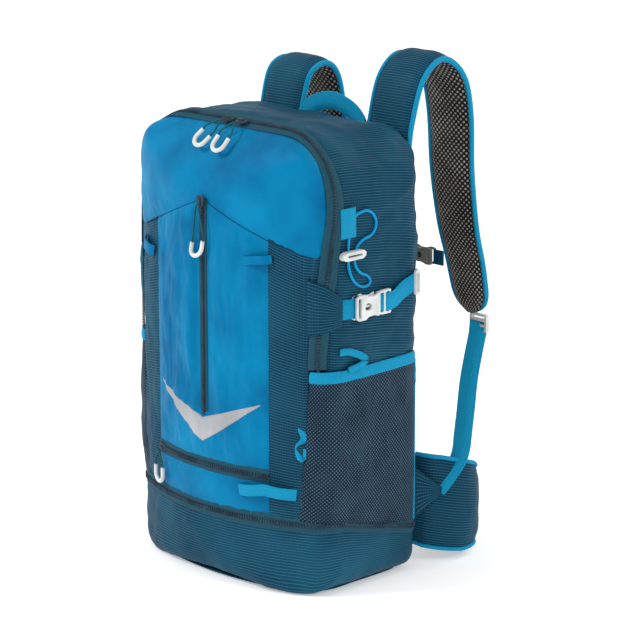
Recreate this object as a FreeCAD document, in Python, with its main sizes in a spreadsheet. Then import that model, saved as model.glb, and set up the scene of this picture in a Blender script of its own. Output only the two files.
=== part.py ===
"""A daypack of about 25 litres, built as separate panels, zips, buckles and straps.

Frame: millimetres, +Z up, -Y the pack's front, +Y the wearer's side.
The origin is the middle of the flat base.
"""
import FreeCAD
import Part

import os
import re
from math import pi, tan

os.makedirs("parts", exist_ok=True)
Vector = FreeCAD.Vector
doc = FreeCAD.newDocument("daypack")

# ---------------------------------------------------------------- driving dimensions

DIMENSIONS = {
    "bag_height": 476,
    "half_width": 138,
    "back_y": 88,
    "front_y": -92,
    "corner_x": 118,
    "corner_y": -64,
    "cloth": 3,
    "base_top": 72,
    "base_zip_top": 80,
    "pocket_zip_low": 118,
    "pocket_zip_high": 127,
    "lid_low": 408,
    "zip_back": -40,
    "zip_front": -47,
    "side_back": 50,
    "top_low": 400,
    "band_inner": 81,
    "front_zip_half": 4.5,
    "running_gap": 0.4,
    "pad_thick": 9,
    "mesh_depth": 10,
    "mesh_front": -58,
    "mesh_back": 66,
    "mesh_high": 226,
    "hem_height": 6,
    "webbing": 20,
    "webbing_thick": 1.6,
    "strap_width": 62,
    "strap_inner": 48,
    "strap_thick": 12,
    "buckle_z": 298,
    "bungee": 3,
    "hip_low": 18,
    "hip_high": 118,
    "hip_thick": 11,
    "column_width": 112,
    "channel_half": 8,
    "column_low": 130,
    "column_high": 428,
    "lumbar_half": 85,
    "lumbar_low": 56,
    "lumbar_high": 124,
    "wall_half": 112,
    "sheet_half": 95,
    "sheet_low": 90,
    "sheet_high": 430,
    "sleeve_half": 90,
    "sleeve_low": 96,
    "sleeve_high": 346,
    "divider_half": 123,
    "board_thick": 2,
    "lining_thick": 1.5,
    "plate_thick": 3,
    "tab_thick": 6,
    "tab_low": 370,
    "tab_high": 396,
    "tab_front": -36,
    "tab_back": -20,
    "cord_out": 3.4,
    "lock_low": 348,
    "lock_high": 357,
    "glide_front": 66,
    "glide_width": 4,
    "glide_rise": 12,
}

sizes = doc.addObject("Spreadsheet::Sheet", "sizes")
for row, (alias, number) in enumerate(DIMENSIONS.items(), start=1):
    sizes.set("A%d" % row, alias)
    sizes.set("B%d" % row, str(number))
    sizes.setAlias("B%d" % row, alias)
doc.recompute()

parts = []


def size(text):
    """The number that a formula of the sheet's aliases gives now."""
    if isinstance(text, str):
        return float(sizes.evalExpression(text))
    return float(text)


def bound(text):
    """A formula of aliases, written for an object outside the sheet."""
    return re.sub(r"\b(%s)\b" % "|".join(DIMENSIONS), r"sizes.\1", text)


def drive(item, prop, value):
    """Set a property from a number, or bind it to a formula."""
    if isinstance(value, str):
        item.setExpression(prop, bound(value))
        return
    names = prop.split(".")
    if len(names) == 1:
        setattr(item, prop, value)
    else:
        placement = item.Placement if names[0] == "Placement" else item.AttachmentOffset
        base = placement.Base
        setattr(base, names[2], value)
        placement.Base = base
        setattr(item, names[0], placement)


def keep(item, label):
    """Name a finished sub-part; its label names its file."""
    item.Label = label
    parts.append(item)
    return item


def box(label, low, lengths):
    """A block from its low corner and its three lengths."""
    item = doc.addObject("Part::Box", label)
    for prop, value in zip(("Length", "Width", "Height"), lengths):
        drive(item, prop, value)
    for prop, value in zip(("x", "y", "z"), low):
        drive(item, "Placement.Base." + prop, value)
    return item


def cut(label, base, tool):
    item = doc.addObject("Part::Cut", label)
    item.Base = base
    item.Tool = tool
    return item


def common(label, *shapes):
    item = doc.addObject("Part::MultiCommon", label)
    item.Shapes = list(shapes)
    return item


def fuse(label, *shapes):
    item = doc.addObject("Part::MultiFuse", label)
    item.Shapes = list(shapes)
    return item


def group(label, *shapes):
    """Separate solids that share one node."""
    item = doc.addObject("Part::Compound", label)
    item.Links = list(shapes)
    return item


def keep_pair(label, make):
    """One node of two alike solids, one on each side of the bag."""
    keep(group(label, make("right", 1), make("left", -1)), label)


def prism(label, plane, outline, start, length):
    """A padded sketch. An outline entry of 4 numbers is an arc: its middle, then its end."""
    body = doc.addObject("PartDesign::Body", label)
    sketch = body.newObject("Sketcher::SketchObject", label + "_outline")
    origin_plane = [item for item in body.Origin.OriginFeatures if item.Role == plane][0]
    sketch.AttachmentSupport = [(origin_plane, "")]
    sketch.MapMode = "FlatFace"
    here = Vector(outline[0][0], outline[0][1], 0)
    edges = []
    for entry in list(outline[1:]) + [outline[0][:2]]:
        there = Vector(entry[-2], entry[-1], 0)
        if len(entry) == 4:
            edges.append(Part.Arc(here, Vector(entry[0], entry[1], 0), there))
        elif here.distanceToPoint(there) > 1e-6:
            edges.append(Part.LineSegment(here, there))
        here = there
    sketch.addGeometry(edges, False)
    drive(sketch, "AttachmentOffset.Base.z", start)
    pad = body.newObject("PartDesign::Pad", label + "_pad")
    pad.Profile = sketch
    drive(pad, "Length", length)
    body.Tip = pad
    return body


def ribbon(label, route, thickness, start, width, plane="YZ_Plane"):
    """A strap: its centre line in a plane, thickened both ways and padded to its width."""
    points = [Vector(a, b, 0) for a, b in route]
    sides = []
    for index, point in enumerate(points):
        before = points[max(index - 1, 0)]
        after = points[min(index + 1, len(points) - 1)]
        along = (after - before).normalize()
        sides.append(Vector(-along.y, along.x, 0) * (thickness / 2))
    left = [(point + side)[0:2] for point, side in zip(points, sides)]
    right = [(point - side)[0:2] for point, side in zip(points, sides)]
    return prism(label, plane, left + right[::-1], start, width)


# ---------------------------------------------------------------- the bag's form


def bag_form(label, inset):
    """The bag's closed form: what its plan, front and side outlines all hold."""
    wide = size("half_width") - inset
    back = size("back_y") - inset
    front = size("front_y") + inset
    corner_x = size("corner_x") - inset * 0.6
    corner_y = size("corner_y") + inset * 0.8
    top = size("bag_height") - inset
    low = inset
    plan = [
        (-wide + 30, back), (wide - 30, back),
        (wide - 9, back - 9, wide, back - 30),
        (wide, -30),
        (wide - 4, -50, corner_x, corner_y),
        (0, front, -corner_x, corner_y),
        (-wide + 4, -50, -wide, -30),
        (-wide, back - 30),
        (-wide + 9, back - 9, -wide + 30, back),
    ]
    face = [
        (-wide + 28, low), (wide - 28, low),
        (wide - 8, low + 9, wide, low + 35),
        (wide, top - 95),
        (wide - 14, top - 36, wide - 58, top - 5),
        (0, top, -wide + 58, top - 5),
        (-wide + 14, top - 36, -wide, top - 95),
        (-wide, low + 35),
        (-wide + 8, low + 9, -wide + 28, low),
    ]
    side = [
        (front + 24, low), (back - 24, low),
        (back - 7, low + 8, back, low + 28),
        (back, top - 34),
        (back - 6, top - 18, back - 22, top - 12),
        (-32 + inset, top),
        (front + 22, top - 28, front, top - 80),
        (front, low + 40),
        (front + 7, low + 12, front + 24, low),
    ]
    plan_form = prism(label + "_plan", "XY_Plane", plan, 0, "bag_height")
    face_form = prism(label + "_face", "XZ_Plane", face, "-back_y", "back_y - front_y")
    side_form = prism(label + "_side", "YZ_Plane", side, "-half_width", "2 * half_width")
    return common(label, plan_form, face_form, side_form)


outer_form = bag_form("outer_form", 0)
inner_form = bag_form("inner_form", size("cloth"))
shell = cut("shell", outer_form, inner_form)


def cloth_panel(label, low, high):
    """The stretch of the bag's shell inside a block, given by its two corners."""
    lengths = []
    for first, last in zip(low, high):
        lengths.append("(%s) - (%s)" % (last, first))
    cell = box(label + "_cell", [str(value) for value in low], lengths)
    return keep(common(label, shell, cell), label)


def bag_panels():
    cloth_panel("base_compartment", ("-200", "-200", "-10"), ("200", "200", "base_top"))
    cloth_panel("base_zip_tape", ("-200", "-200", "base_top"), ("200", "side_back", "base_zip_top"))
    cloth_panel("back_panel", ("-200", "side_back", "base_top"), ("200", "200", "600"))
    cloth_panel("top_panel", ("-200", "zip_back", "top_low"), ("200", "side_back", "600"))
    cloth_panel("side_panel_right", ("50", "zip_back", "base_zip_top"), ("200", "side_back", "top_low"))
    cloth_panel("side_panel_left", ("-200", "zip_back", "base_zip_top"), ("-50", "side_back", "top_low"))
    cloth_panel("main_zip_tape", ("-200", "zip_front", "base_zip_top"), ("200", "zip_back", "600"))
    cloth_panel("upper_front_panel", ("-200", "-200", "lid_low + running_gap"),
                ("200", "zip_front - running_gap", "600"))
    cloth_panel("front_band_right", ("band_inner", "-200", "base_zip_top"), ("200", "zip_front", "lid_low"))
    cloth_panel("front_band_left", ("-200", "-200", "base_zip_top"), ("-band_inner", "zip_front", "lid_low"))
    cloth_panel("front_pocket_right", ("front_zip_half", "-200", "pocket_zip_high"),
                ("band_inner", "zip_front", "lid_low"))
    cloth_panel("front_pocket_left", ("-band_inner", "-200", "pocket_zip_high"),
                ("-front_zip_half", "zip_front", "lid_low"))
    cloth_panel("front_zip_tape", ("-front_zip_half", "-200", "pocket_zip_high"),
                ("front_zip_half", "zip_front", "lid_low"))
    cloth_panel("pocket_zip_tape", ("-band_inner", "-200", "pocket_zip_low"),
                ("band_inner", "zip_front", "pocket_zip_high"))
    cloth_panel("lower_front_strip", ("-band_inner", "-200", "base_zip_top"),
                ("band_inner", "zip_front", "pocket_zip_low"))


def inner_pieces():
    """What the bag holds inside: pocket wall, frame sheet, sleeve and floor divider."""
    keep(box("inner_front_wall", ("-wall_half", -58, "base_zip_top + 2"), ("2 * wall_half", "lining_thick", 314)),
         "inner_front_wall")
    keep(box("frame_sheet", ("-sheet_half", "back_y - cloth - 0.6 - board_thick", "sheet_low"),
             ("2 * sheet_half", "board_thick", "sheet_high - sheet_low")), "frame_sheet")
    keep(box("hydration_sleeve", ("-sleeve_half", 70, "sleeve_low"),
             ("2 * sleeve_half", "lining_thick", "sleeve_high - sleeve_low")), "hydration_sleeve")
    keep(box("floor_divider", ("-divider_half", -52, "base_top + 1"), ("2 * divider_half", 128, "lining_thick")),
         "floor_divider")


bag_panels()
inner_pieces()

# ---------------------------------------------------------------- pockets and trim

SIDES = (("right", 1), ("left", -1))


def side_box(label, sign, near, far, y_span, z_span):
    """A block beside the bag, given by how far out it starts and ends."""
    low_x = near if sign > 0 else -far
    return box(label, (low_x, y_span[0], z_span[0]),
               (far - near, y_span[1] - y_span[0], z_span[1] - z_span[0]))


POCKET_NEAR = 122.0
MESH_THICK = 1.5
HEM_THICK = 2.5


def pocket_pouch(name, sign):
    """An open-topped mesh pouch on the bag's side."""
    near = size("half_width")
    far = near + size("mesh_depth")
    front = size("mesh_front")
    back = size("mesh_back")
    low = size("base_top") - 8
    high = size("mesh_high")
    block = side_box("mesh_block_" + name, sign, POCKET_NEAR, far, (front, back), (low, high))
    inner = (front + MESH_THICK, back - MESH_THICK)
    room = side_box("mesh_room_" + name, sign, 100, far - MESH_THICK, inner, (low + MESH_THICK, high + 9))
    pouch = cut("mesh_pouch_" + name, block, room)
    return cut("mesh_pocket_" + name, pouch, outer_form)


def pocket_hem(name, sign):
    """The elastic hem round a pouch's mouth."""
    far = size("half_width") + size("mesh_depth")
    front = size("mesh_front")
    back = size("mesh_back")
    high = size("mesh_high")
    top = high + size("hem_height")
    band = side_box("hem_block_" + name, sign, POCKET_NEAR, far + 0.5, (front - 0.5, back + 0.5), (high, top))
    inner = (front - 0.5 + HEM_THICK, back + 0.5 - HEM_THICK)
    mouth = side_box("hem_room_" + name, sign, 100, far + 0.5 - HEM_THICK, inner, (high - 1, top + 1))
    ring = cut("hem_ring_" + name, band, mouth)
    return cut("mesh_hem_" + name, ring, outer_form)


def chevron():
    """The reflective V on the front pocket: two arms and a notch above."""
    outline = [(-72, 197), (0, 172), (72, 197), (0, 148)]
    plate = prism("chevron_plate", "XZ_Plane", outline, 60, 40)
    slab = cut("chevron_slab", plate, outer_form)
    front = box("chevron_front", (-100, "front_y - 1", 100), (200, 60, 150))
    outside = common("chevron_near", slab, front)
    keep(outside, "reflective_chevron")


keep_pair("mesh_pockets", pocket_pouch)
keep_pair("mesh_pocket_hems", pocket_hem)


def back_pad():
    """The padded mesh against the wearer's back: two columns either side of a channel, and a lumbar pad."""
    column = ("column_width", "pad_thick", "column_high - column_low")
    left = box("pad_left", ("-channel_half - column_width", "back_y", "column_low"), column)
    right = box("pad_right", ("channel_half", "back_y", "column_low"), column)
    lumbar = box("pad_lumbar", ("-lumbar_half", "back_y", "lumbar_low"),
                 ("2 * lumbar_half", "pad_thick", "lumbar_high - lumbar_low"))
    keep(group("back_pad", left, right, lumbar), "back_pad")


back_pad()

# ---------------------------------------------------------------- compression straps


BUCKLE_X = size("half_width") + 0.5
BUCKLE_Z = size("buckle_z")
HALF_WEB = size("webbing") / 2
SOCKET_FRONT = -24.5
SOCKET_BACK = 9
SOCKET_THICK = 11
SOCKET_HALF = 13
PLUG_NEAR = 3.4
PLUG_FAR = 7.6
STEM_FRONT = 10
STEM_BACK = 29


def compression_wing(name, sign):
    """The sewn flap that the front webbing comes out of."""
    return side_box("wing_" + name, sign, BUCKLE_X, BUCKLE_X + 2, (-52, -39), (BUCKLE_Z - 26, BUCKLE_Z + 26))


def front_webbing(name, sign):
    """The short webbing from the flap to the buckle's socket."""
    return side_box("front_web_" + name, sign, BUCKLE_X, BUCKLE_X + size("webbing_thick"), (-38.8, -25),
                    (BUCKLE_Z - HALF_WEB, BUCKLE_Z + HALF_WEB))


def tri_glide(name, sign):
    """The tri-glide where the strap's tail is sewn to the side, a little above the buckle."""
    front = size("glide_front")
    middle = BUCKLE_Z + size("glide_rise")
    return side_box("glide_" + name, sign, BUCKLE_X, BUCKLE_X + 8, (front, front + size("glide_width")),
                    (middle - 13, middle + 13))


def compression_buckle(name, sign):
    """The side-release buckle's socket and plug, and the webbing behind the plug."""
    x = BUCKLE_X
    mid = BUCKLE_Z

    def block(label, near, far, y_span, z_span):
        return side_box(label + "_" + name, sign, near, far, y_span, z_span)

    shell_box = block("socket_block", x, x + SOCKET_THICK, (SOCKET_FRONT, SOCKET_BACK),
                      (mid - SOCKET_HALF, mid + SOCKET_HALF))
    room = block("socket_room", x + 3, x + 8, (-17, 17), (mid - 9.5, mid + 9.5))
    keep(cut("socket_" + name, shell_box, room), "buckle_socket_" + name)
    near = x + PLUG_NEAR
    far = x + PLUG_FAR
    stem = block("plug_stem", near, far, (STEM_FRONT, STEM_BACK), (mid - 12, mid + 12))
    prong_high = block("plug_prong_high", near, far, (-15, STEM_FRONT), (mid + 5.5, mid + 9.1))
    prong_low = block("plug_prong_low", near, far, (-15, STEM_FRONT), (mid - 9.1, mid - 5.5))
    tongue = block("plug_tongue", near + 0.6, far - 0.6, (-13, STEM_FRONT), (mid - 1.5, mid + 1.5))
    keep(fuse("plug_" + name, stem, prong_high, prong_low, tongue), "buckle_plug_" + name)
    web_near = x + 4.5
    rear_web = block("rear_web", web_near, web_near + size("webbing_thick"), (STEM_BACK + 0.2, 64),
                     (mid - HALF_WEB, mid + HALF_WEB))
    keep(rear_web, "rear_webbing_" + name)


keep_pair("compression_wings", compression_wing)
keep_pair("front_webbings", front_webbing)
keep_pair("tri_glides", tri_glide)
for side_name, side_sign in SIDES:
    compression_buckle(side_name, side_sign)

# ---------------------------------------------------------------- pole holders


def pole_tab(name, sign):
    """The sewn tab that both ends of the elastic cord go into."""
    x = size("half_width")
    return side_box("pole_tab_" + name, sign, x, x + size("tab_thick"), (size("tab_front"), size("tab_back")),
                    (size("tab_low"), size("tab_high")))


# The elastic cord, as (y, z) points beside the bag: out of the tab's back edge, round the pole's ring,
# down through the lock to the tail, and back up through the lock into the tab's lower edge.
BUNGEE_ROUTE = [(-20, 391), (-7, 396), (6, 391), (12, 379), (5, 368), (-9, 366), (-19, 358), (-21, 343),
                (-13, 332), (-1, 328), (4, 320), (-6, 316), (-18, 321), (-27, 333), (-30, 350), (-28, 370)]


def cord_wire(points):
    """A cord's line: straight runs joined by arcs as large as the shorter run at each point allows."""
    spots = [Vector(*point) for point in points]
    edges = []
    here = spots[0]
    for before, corner, after in zip(spots, spots[1:], spots[2:]):
        arriving = (corner - before).normalize()
        leaving = (after - corner).normalize()
        half_turn = arriving.getAngle(leaving) / 2
        setback = 0.45 * min(before.distanceToPoint(corner), corner.distanceToPoint(after))
        radius = setback / tan(half_turn)
        print("cord arc radius %.1f" % radius)
        first = corner - arriving * setback
        last = corner + leaving * setback
        inward = (leaving - arriving).normalize()
        centre = corner + inward * (radius ** 2 + setback ** 2) ** 0.5
        edges.append(Part.LineSegment(here, first).toShape())
        edges.append(Part.Arc(first, centre - inward * radius, last).toShape())
        here = last
    edges.append(Part.LineSegment(here, spots[-1]).toShape())
    return Part.Wire(edges)


def pole_bungee(name, sign):
    """The elastic cord that holds a walking pole's shaft."""
    out = sign * (size("half_width") + size("cord_out"))
    path = doc.addObject("Part::Feature", "bungee_path_" + name)
    path.Shape = cord_wire([(out, y, z) for y, z in BUNGEE_ROUTE])
    section = doc.addObject("Part::Circle", "bungee_section_" + name)
    drive(section, "Radius", "bungee / 2")
    (start_y, start_z), (next_y, next_z) = BUNGEE_ROUTE[:2]
    turn = FreeCAD.Rotation(Vector(0, 0, 1), Vector(0, next_y - start_y, next_z - start_z))
    section.Placement = FreeCAD.Placement(Vector(out, start_y, start_z), turn)
    tube = doc.addObject("Part::Sweep", "bungee_" + name)
    tube.Sections = [section]
    tube.Spine = (path, ["Edge%d" % (index + 1) for index in range(len(path.Shape.Edges))])
    tube.Solid = True
    tube.Frenet = False
    doc.recompute()
    free = cut("bungee_free_" + name, tube, tabs[name])
    keep(free, "pole_bungee_" + name)
    full = path.Shape.Length * pi * (size("bungee") / 2) ** 2
    print("cord %s is %.1f mm long, volume over section times length %.3f" % (
        name, path.Shape.Length, tube.Shape.Volume / full))


def cord_lock(name, sign):
    """A cord lock that slides on the doubled cord, with a slot that both strands run through."""
    x = size("half_width")
    low = size("lock_low")
    high = size("lock_high")
    body = side_box("lock_" + name, sign, x + 0.5, x + 9, (-41, -9), (low, high))
    slot = side_box("lock_slot_" + name, sign, x + 1.3, x + 5.5, (-36, -12), (low - 1, high + 1))
    keep(cut("lock_body_" + name, body, slot), "cord_lock_" + name)


tabs = {}
for side_name, side_sign in SIDES:
    tabs[side_name] = pole_tab(side_name, side_sign)
keep(group("pole_tabs", *tabs.values()), "pole_tabs")
for side_name, side_sign in SIDES:
    pole_bungee(side_name, side_sign)
    cord_lock(side_name, side_sign)

# ---------------------------------------------------------------- zip sliders and pulls

FRONT_RADIUS = (size("corner_x") ** 2 + (size("corner_y") - size("front_y")) ** 2) / (
    2 * (size("corner_y") - size("front_y")))
FRONT_CENTRE_Y = size("front_y") + FRONT_RADIUS
POCKET_SLIDER_TURN = -16.4


PULL_LEG = 3.4
PULL_OUTER = 8.5
PULL_THICK = 3.5


def u_pull(label, x_mid, y_front, top, low):
    """A moulded U: two legs joined by a round end."""
    leg = PULL_LEG
    outer = PULL_OUTER
    outline = [
        (x_mid - outer, top), (x_mid - outer, low + outer),
        (x_mid, low, x_mid + outer, low + outer),
        (x_mid + outer, top), (x_mid + outer - leg, top), (x_mid + outer - leg, low + outer),
        (x_mid, low + leg, x_mid - outer + leg, low + outer), (x_mid - outer + leg, top),
    ]
    return prism(label, "XZ_Plane", outline, -y_front - PULL_THICK, PULL_THICK)


def turned(item, pivot, axis, angle):
    """Turn a finished object about a line through a point."""
    turn = FreeCAD.Rotation(Vector(*axis), angle)
    move = FreeCAD.Placement(Vector(0, 0, 0), turn, Vector(*pivot))
    item.Placement = move.multiply(item.Placement)
    return item


def front_zip_slider():
    """The front pocket's slider and its hanging pull; the zip is straight and upright."""
    front = size("front_y")
    keep(box("front_slider", (-4, front - 5, 390), (8, 4.6, 13)), "front_slider")
    keep(u_pull("front_pull", 0, front - 9.5, 389, 338), "front_pull")


def pocket_zip_slider():
    """The lower pocket's slider follows the front's arc, so it is placed by turning about its centre."""
    front = size("front_y")
    angle = POCKET_SLIDER_TURN
    pivot = (0, FRONT_CENTRE_Y, 0)
    body = box("pocket_slider", (-6, front - 5, 117.5), (12, 4.6, 9))
    keep(turned(body, pivot, (0, 0, 1), angle), "pocket_slider")
    pull = u_pull("pocket_pull", 0, front - 9.5, 116, 86)
    keep(turned(pull, pivot, (0, 0, 1), angle), "pocket_pull")


LID_SLIDERS = (("left", -6), ("right", 14))


def lid_sliders():
    """Two sliders on the lid's edge, each with a pull that lies down the lid's front slope."""
    for name, x in LID_SLIDERS:
        body = box("lid_slider_body_" + name, (x - 6, -60, 455), (12, 12, 18))
        keep(cut("lid_slider_" + name, body, outer_grown), "lid_slider_" + name)
        pull = u_pull("lid_pull_" + name, x, -66, 467, 427)
        keep(turned(pull, (0, -64, 465), (1, 0, 0), -30), "lid_pull_" + name)


outer_grown = bag_form("outer_grown", -0.4)
front_zip_slider()
pocket_zip_slider()
lid_sliders()

# ---------------------------------------------------------------- handle, straps and hip belt


def haul_handle():
    """The webbing arch that the pack is carried by."""
    outline = [(-44, 436), (0, 488, 44, 436), (30, 436), (0, 471, -30, 436)]
    keep(prism("haul_handle", "XZ_Plane", outline, "-back_y - 0.4 - plate_thick", "plate_thick"), "haul_handle")


STRAP_ROUTES = {
    "right": [(95, 448), (104, 486), (122, 515), (150, 524), (174, 508), (185, 478),
              (190, 400), (200, 340), (213, 296), (226, 240)],
    "left": [(95, 448), (103, 480), (116, 502), (132, 506), (148, 494), (157, 468),
             (166, 400), (186, 340), (213, 296), (226, 240)],
}


def mirrored_span(sign, near, far):
    """The low X of a stretch that lies from near to far out on one side."""
    return near if sign > 0 else -far


def bar(label, start, end, width, thick, roll):
    """A flat bar between two points; roll turns it about its own length."""
    first = Vector(*start)
    last = Vector(*end)
    along = last - first
    item = doc.addObject("Part::Box", label)
    item.Length = along.Length
    item.Width = width
    item.Height = thick
    turn = FreeCAD.Rotation(Vector(1, 0, 0), along).multiply(FreeCAD.Rotation(Vector(1, 0, 0), roll))
    item.Placement = FreeCAD.Placement(first - turn.multVec(Vector(0, width / 2, thick / 2)), turn)
    return item


straps = {}


def shoulder_strap(name, sign):
    """A padded strap from the back panel's top, over the shoulder and down to its ladder lock."""
    near = size("strap_inner")
    far = near + size("strap_width")
    low = mirrored_span(sign, near, far)
    strap = ribbon("shoulder_strap_" + name, STRAP_ROUTES[name], size("strap_thick"), low, far - near)
    keep(strap, "shoulder_strap_" + name)
    straps[name] = strap


def ladder_lock(name, sign):
    """The ladder lock under a strap's tip, shaped to the strap it is sewn to."""
    lock = box("lock_block_" + name, (sign * 86 - 13, 220, 222), (26, 12, 16))
    return cut("ladder_lock_" + name, lock, straps[name])


def lower_webbing(name, sign):
    """The webbing from the ladder lock to the hip: one stretch down and one back to the bag."""
    upper = bar("lower_web_a_" + name, (sign * 89, 222, 212), (sign * 133, 140, 134), 20, 2, 0)
    tail = bar("lower_web_b_" + name, (sign * 133, 140, 134), (sign * 133, 91, 128), 20, 2, 0)
    return fuse("lower_webbing_" + name, upper, tail)


def sternum_strap():
    """Webbing from each strap's inner edge to a side-release buckle."""
    near = size("strap_inner")
    keep(box("sternum_webbing_right", (34, 211, 288), (near - 34, 1.6, 16)), "sternum_webbing_right")
    keep(box("sternum_webbing_left", (-near, 211, 288), (near - 12, 1.6, 16)), "sternum_webbing_left")
    block = box("sternum_socket_block", (8, 207, 286), (26, 9, 20))
    room = box("sternum_socket_room", (0, 209.5, 289), (28, 4, 14))
    keep(cut("sternum_socket", block, room), "sternum_socket")
    stem = box("sternum_stem", (-11.6, 210, 287), (19, 3, 18))
    prong_low = box("sternum_prong_low", (7, 210, 290), (16, 3, 3))
    prong_high = box("sternum_prong_high", (7, 210, 299), (16, 3, 3))
    keep(fuse("sternum_plug", stem, prong_low, prong_high), "sternum_plug")


def hip_side(name, sign):
    """A padded wing, its webbing and its half of the hip buckle, which hangs open."""
    route = [(110, 95), (130, 107), (142, 128), (144, 150), (134, 168), (114, 182)]
    points = [(sign * x, y) for x, y in route]
    low = size("hip_low")
    wing = ribbon("hip_wing_" + name, points, size("hip_thick"), low, size("hip_high") - low, "XY_Plane")
    keep(wing, "hip_wing_" + name)
    webbing = box("hip_web_block_" + name, (mirrored_span(sign, 94, 118), 183, 24), (24, 1.8, 25))
    keep(cut("hip_webbing_free_" + name, webbing, wing), "hip_webbing_" + name)
    buckle = box("hip_buckle_" + name, (mirrored_span(sign, 60, 93.6), 179, 10), (33.6, 10, 30))
    keep(buckle, "hip_buckle_" + name)


haul_handle()
for side_name, side_sign in SIDES:
    shoulder_strap(side_name, side_sign)
    hip_side(side_name, side_sign)
keep_pair("ladder_locks", ladder_lock)
keep_pair("lower_webbings", lower_webbing)
sternum_strap()
chevron()

# ---------------------------------------------------------------- check and write

doc.recompute()
for item in doc.Objects:
    if "Invalid" in item.State or "Error" in item.State:
        raise RuntimeError("%s is %s" % (item.Name, item.State))
for item in parts:
    shape = item.Shape
    if shape.isNull() or not shape.isValid() or shape.Volume <= 0:
        raise RuntimeError("%s has no valid shape" % item.Label)
    shape.exportStep("parts/%s.step" % item.Label)
    print("%-26s %9.0f mm3 %d solid(s)" % (item.Label, shape.Volume, len(shape.Solids)))
print(len(parts), "nodes")
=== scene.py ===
"""The looks of a daypack: cloth panels, zips, padded straps, webbing and buckles round a fixed CAD frame."""

import math

import bmesh
import bpy
import numpy as np
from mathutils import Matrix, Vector, noise
from mathutils.bvhtree import BVHTree


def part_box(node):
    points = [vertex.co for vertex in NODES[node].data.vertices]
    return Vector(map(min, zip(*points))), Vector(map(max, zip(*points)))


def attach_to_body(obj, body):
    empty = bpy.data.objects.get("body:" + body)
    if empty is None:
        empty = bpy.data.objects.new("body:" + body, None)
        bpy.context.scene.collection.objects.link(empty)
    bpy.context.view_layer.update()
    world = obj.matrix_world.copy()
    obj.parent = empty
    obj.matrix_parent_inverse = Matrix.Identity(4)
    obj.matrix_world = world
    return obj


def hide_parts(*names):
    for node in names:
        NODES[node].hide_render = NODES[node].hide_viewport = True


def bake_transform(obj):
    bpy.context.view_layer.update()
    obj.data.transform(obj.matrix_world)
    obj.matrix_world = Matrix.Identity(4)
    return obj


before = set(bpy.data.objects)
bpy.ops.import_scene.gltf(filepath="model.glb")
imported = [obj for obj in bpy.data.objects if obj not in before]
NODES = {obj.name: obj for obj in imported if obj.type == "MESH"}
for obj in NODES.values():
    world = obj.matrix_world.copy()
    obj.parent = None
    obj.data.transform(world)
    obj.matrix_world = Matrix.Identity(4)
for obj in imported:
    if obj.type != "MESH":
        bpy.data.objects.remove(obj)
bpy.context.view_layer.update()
MM = 0.001


def new_object(name, data):
    item = bpy.data.objects.new(name, data)
    bpy.context.collection.objects.link(item)
    return item


def set_inputs(node, values):
    for key, value in values.items():
        node.inputs[key].default_value = value


# ---------------------------------------------------------------- places read from the frame, in mm


def low(node, axis):
    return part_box(node)[0][axis] / MM


def high(node, axis):
    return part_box(node)[1][axis] / MM


def middle_of(node, axis):
    return (low(node, axis) + high(node, axis)) / 2


HALF = high("side_panel_right", 0)
FRONT = low("front_zip_tape", 1)
BACK = high("back_panel", 1)
TOP = high("top_panel", 2)
BASE_Z = high("base_compartment", 2)
BASE_ZIP_Z = high("base_zip_tape", 2)
POCKET_ZIP_LOW = low("pocket_zip_tape", 2)
POCKET_ZIP_HIGH = high("pocket_zip_tape", 2)
BAND_X = low("front_band_right", 0)
ZIP_Y = low("main_zip_tape", 1)
ZIP_BACK_Y = high("main_zip_tape", 1)
BUCKLE_Z = middle_of("buckle_socket_right", 2)
HEM_LOW = low("mesh_pocket_hems", 2)
HEM_HIGH = high("mesh_pocket_hems", 2)
PAD_HIGH = high("back_pad", 2)
PAD_LOW = low("back_pad", 2)
PAD_Y = high("back_pad", 1)
CORNER_X = 118.0
CORNER_Y = -64.0

# ---------------------------------------------------------------- camera, light and floor


def aim(item, place, target):
    item.location = place
    item.rotation_euler = (Vector(target) - item.location).to_track_quat("-Z", "Y").to_euler()


def camera():
    data = bpy.data.cameras.new("camera")
    data.lens = 163
    data.sensor_width = 36
    item = new_object("camera", data)
    aim(item, (2.0945, -2.0215, 0.983), (0.0365, 0.0365, 0.257))
    bpy.context.scene.camera = item


def area_light(name, place, power, size):
    data = bpy.data.lights.new(name, "AREA")
    data.energy = power
    data.size = size
    aim(new_object(name, data), place, (0, 0, 0.25))


AMBIENT = 0.75
FLOOR_REACH = 6
FLOOR_Z = -0.0005


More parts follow.
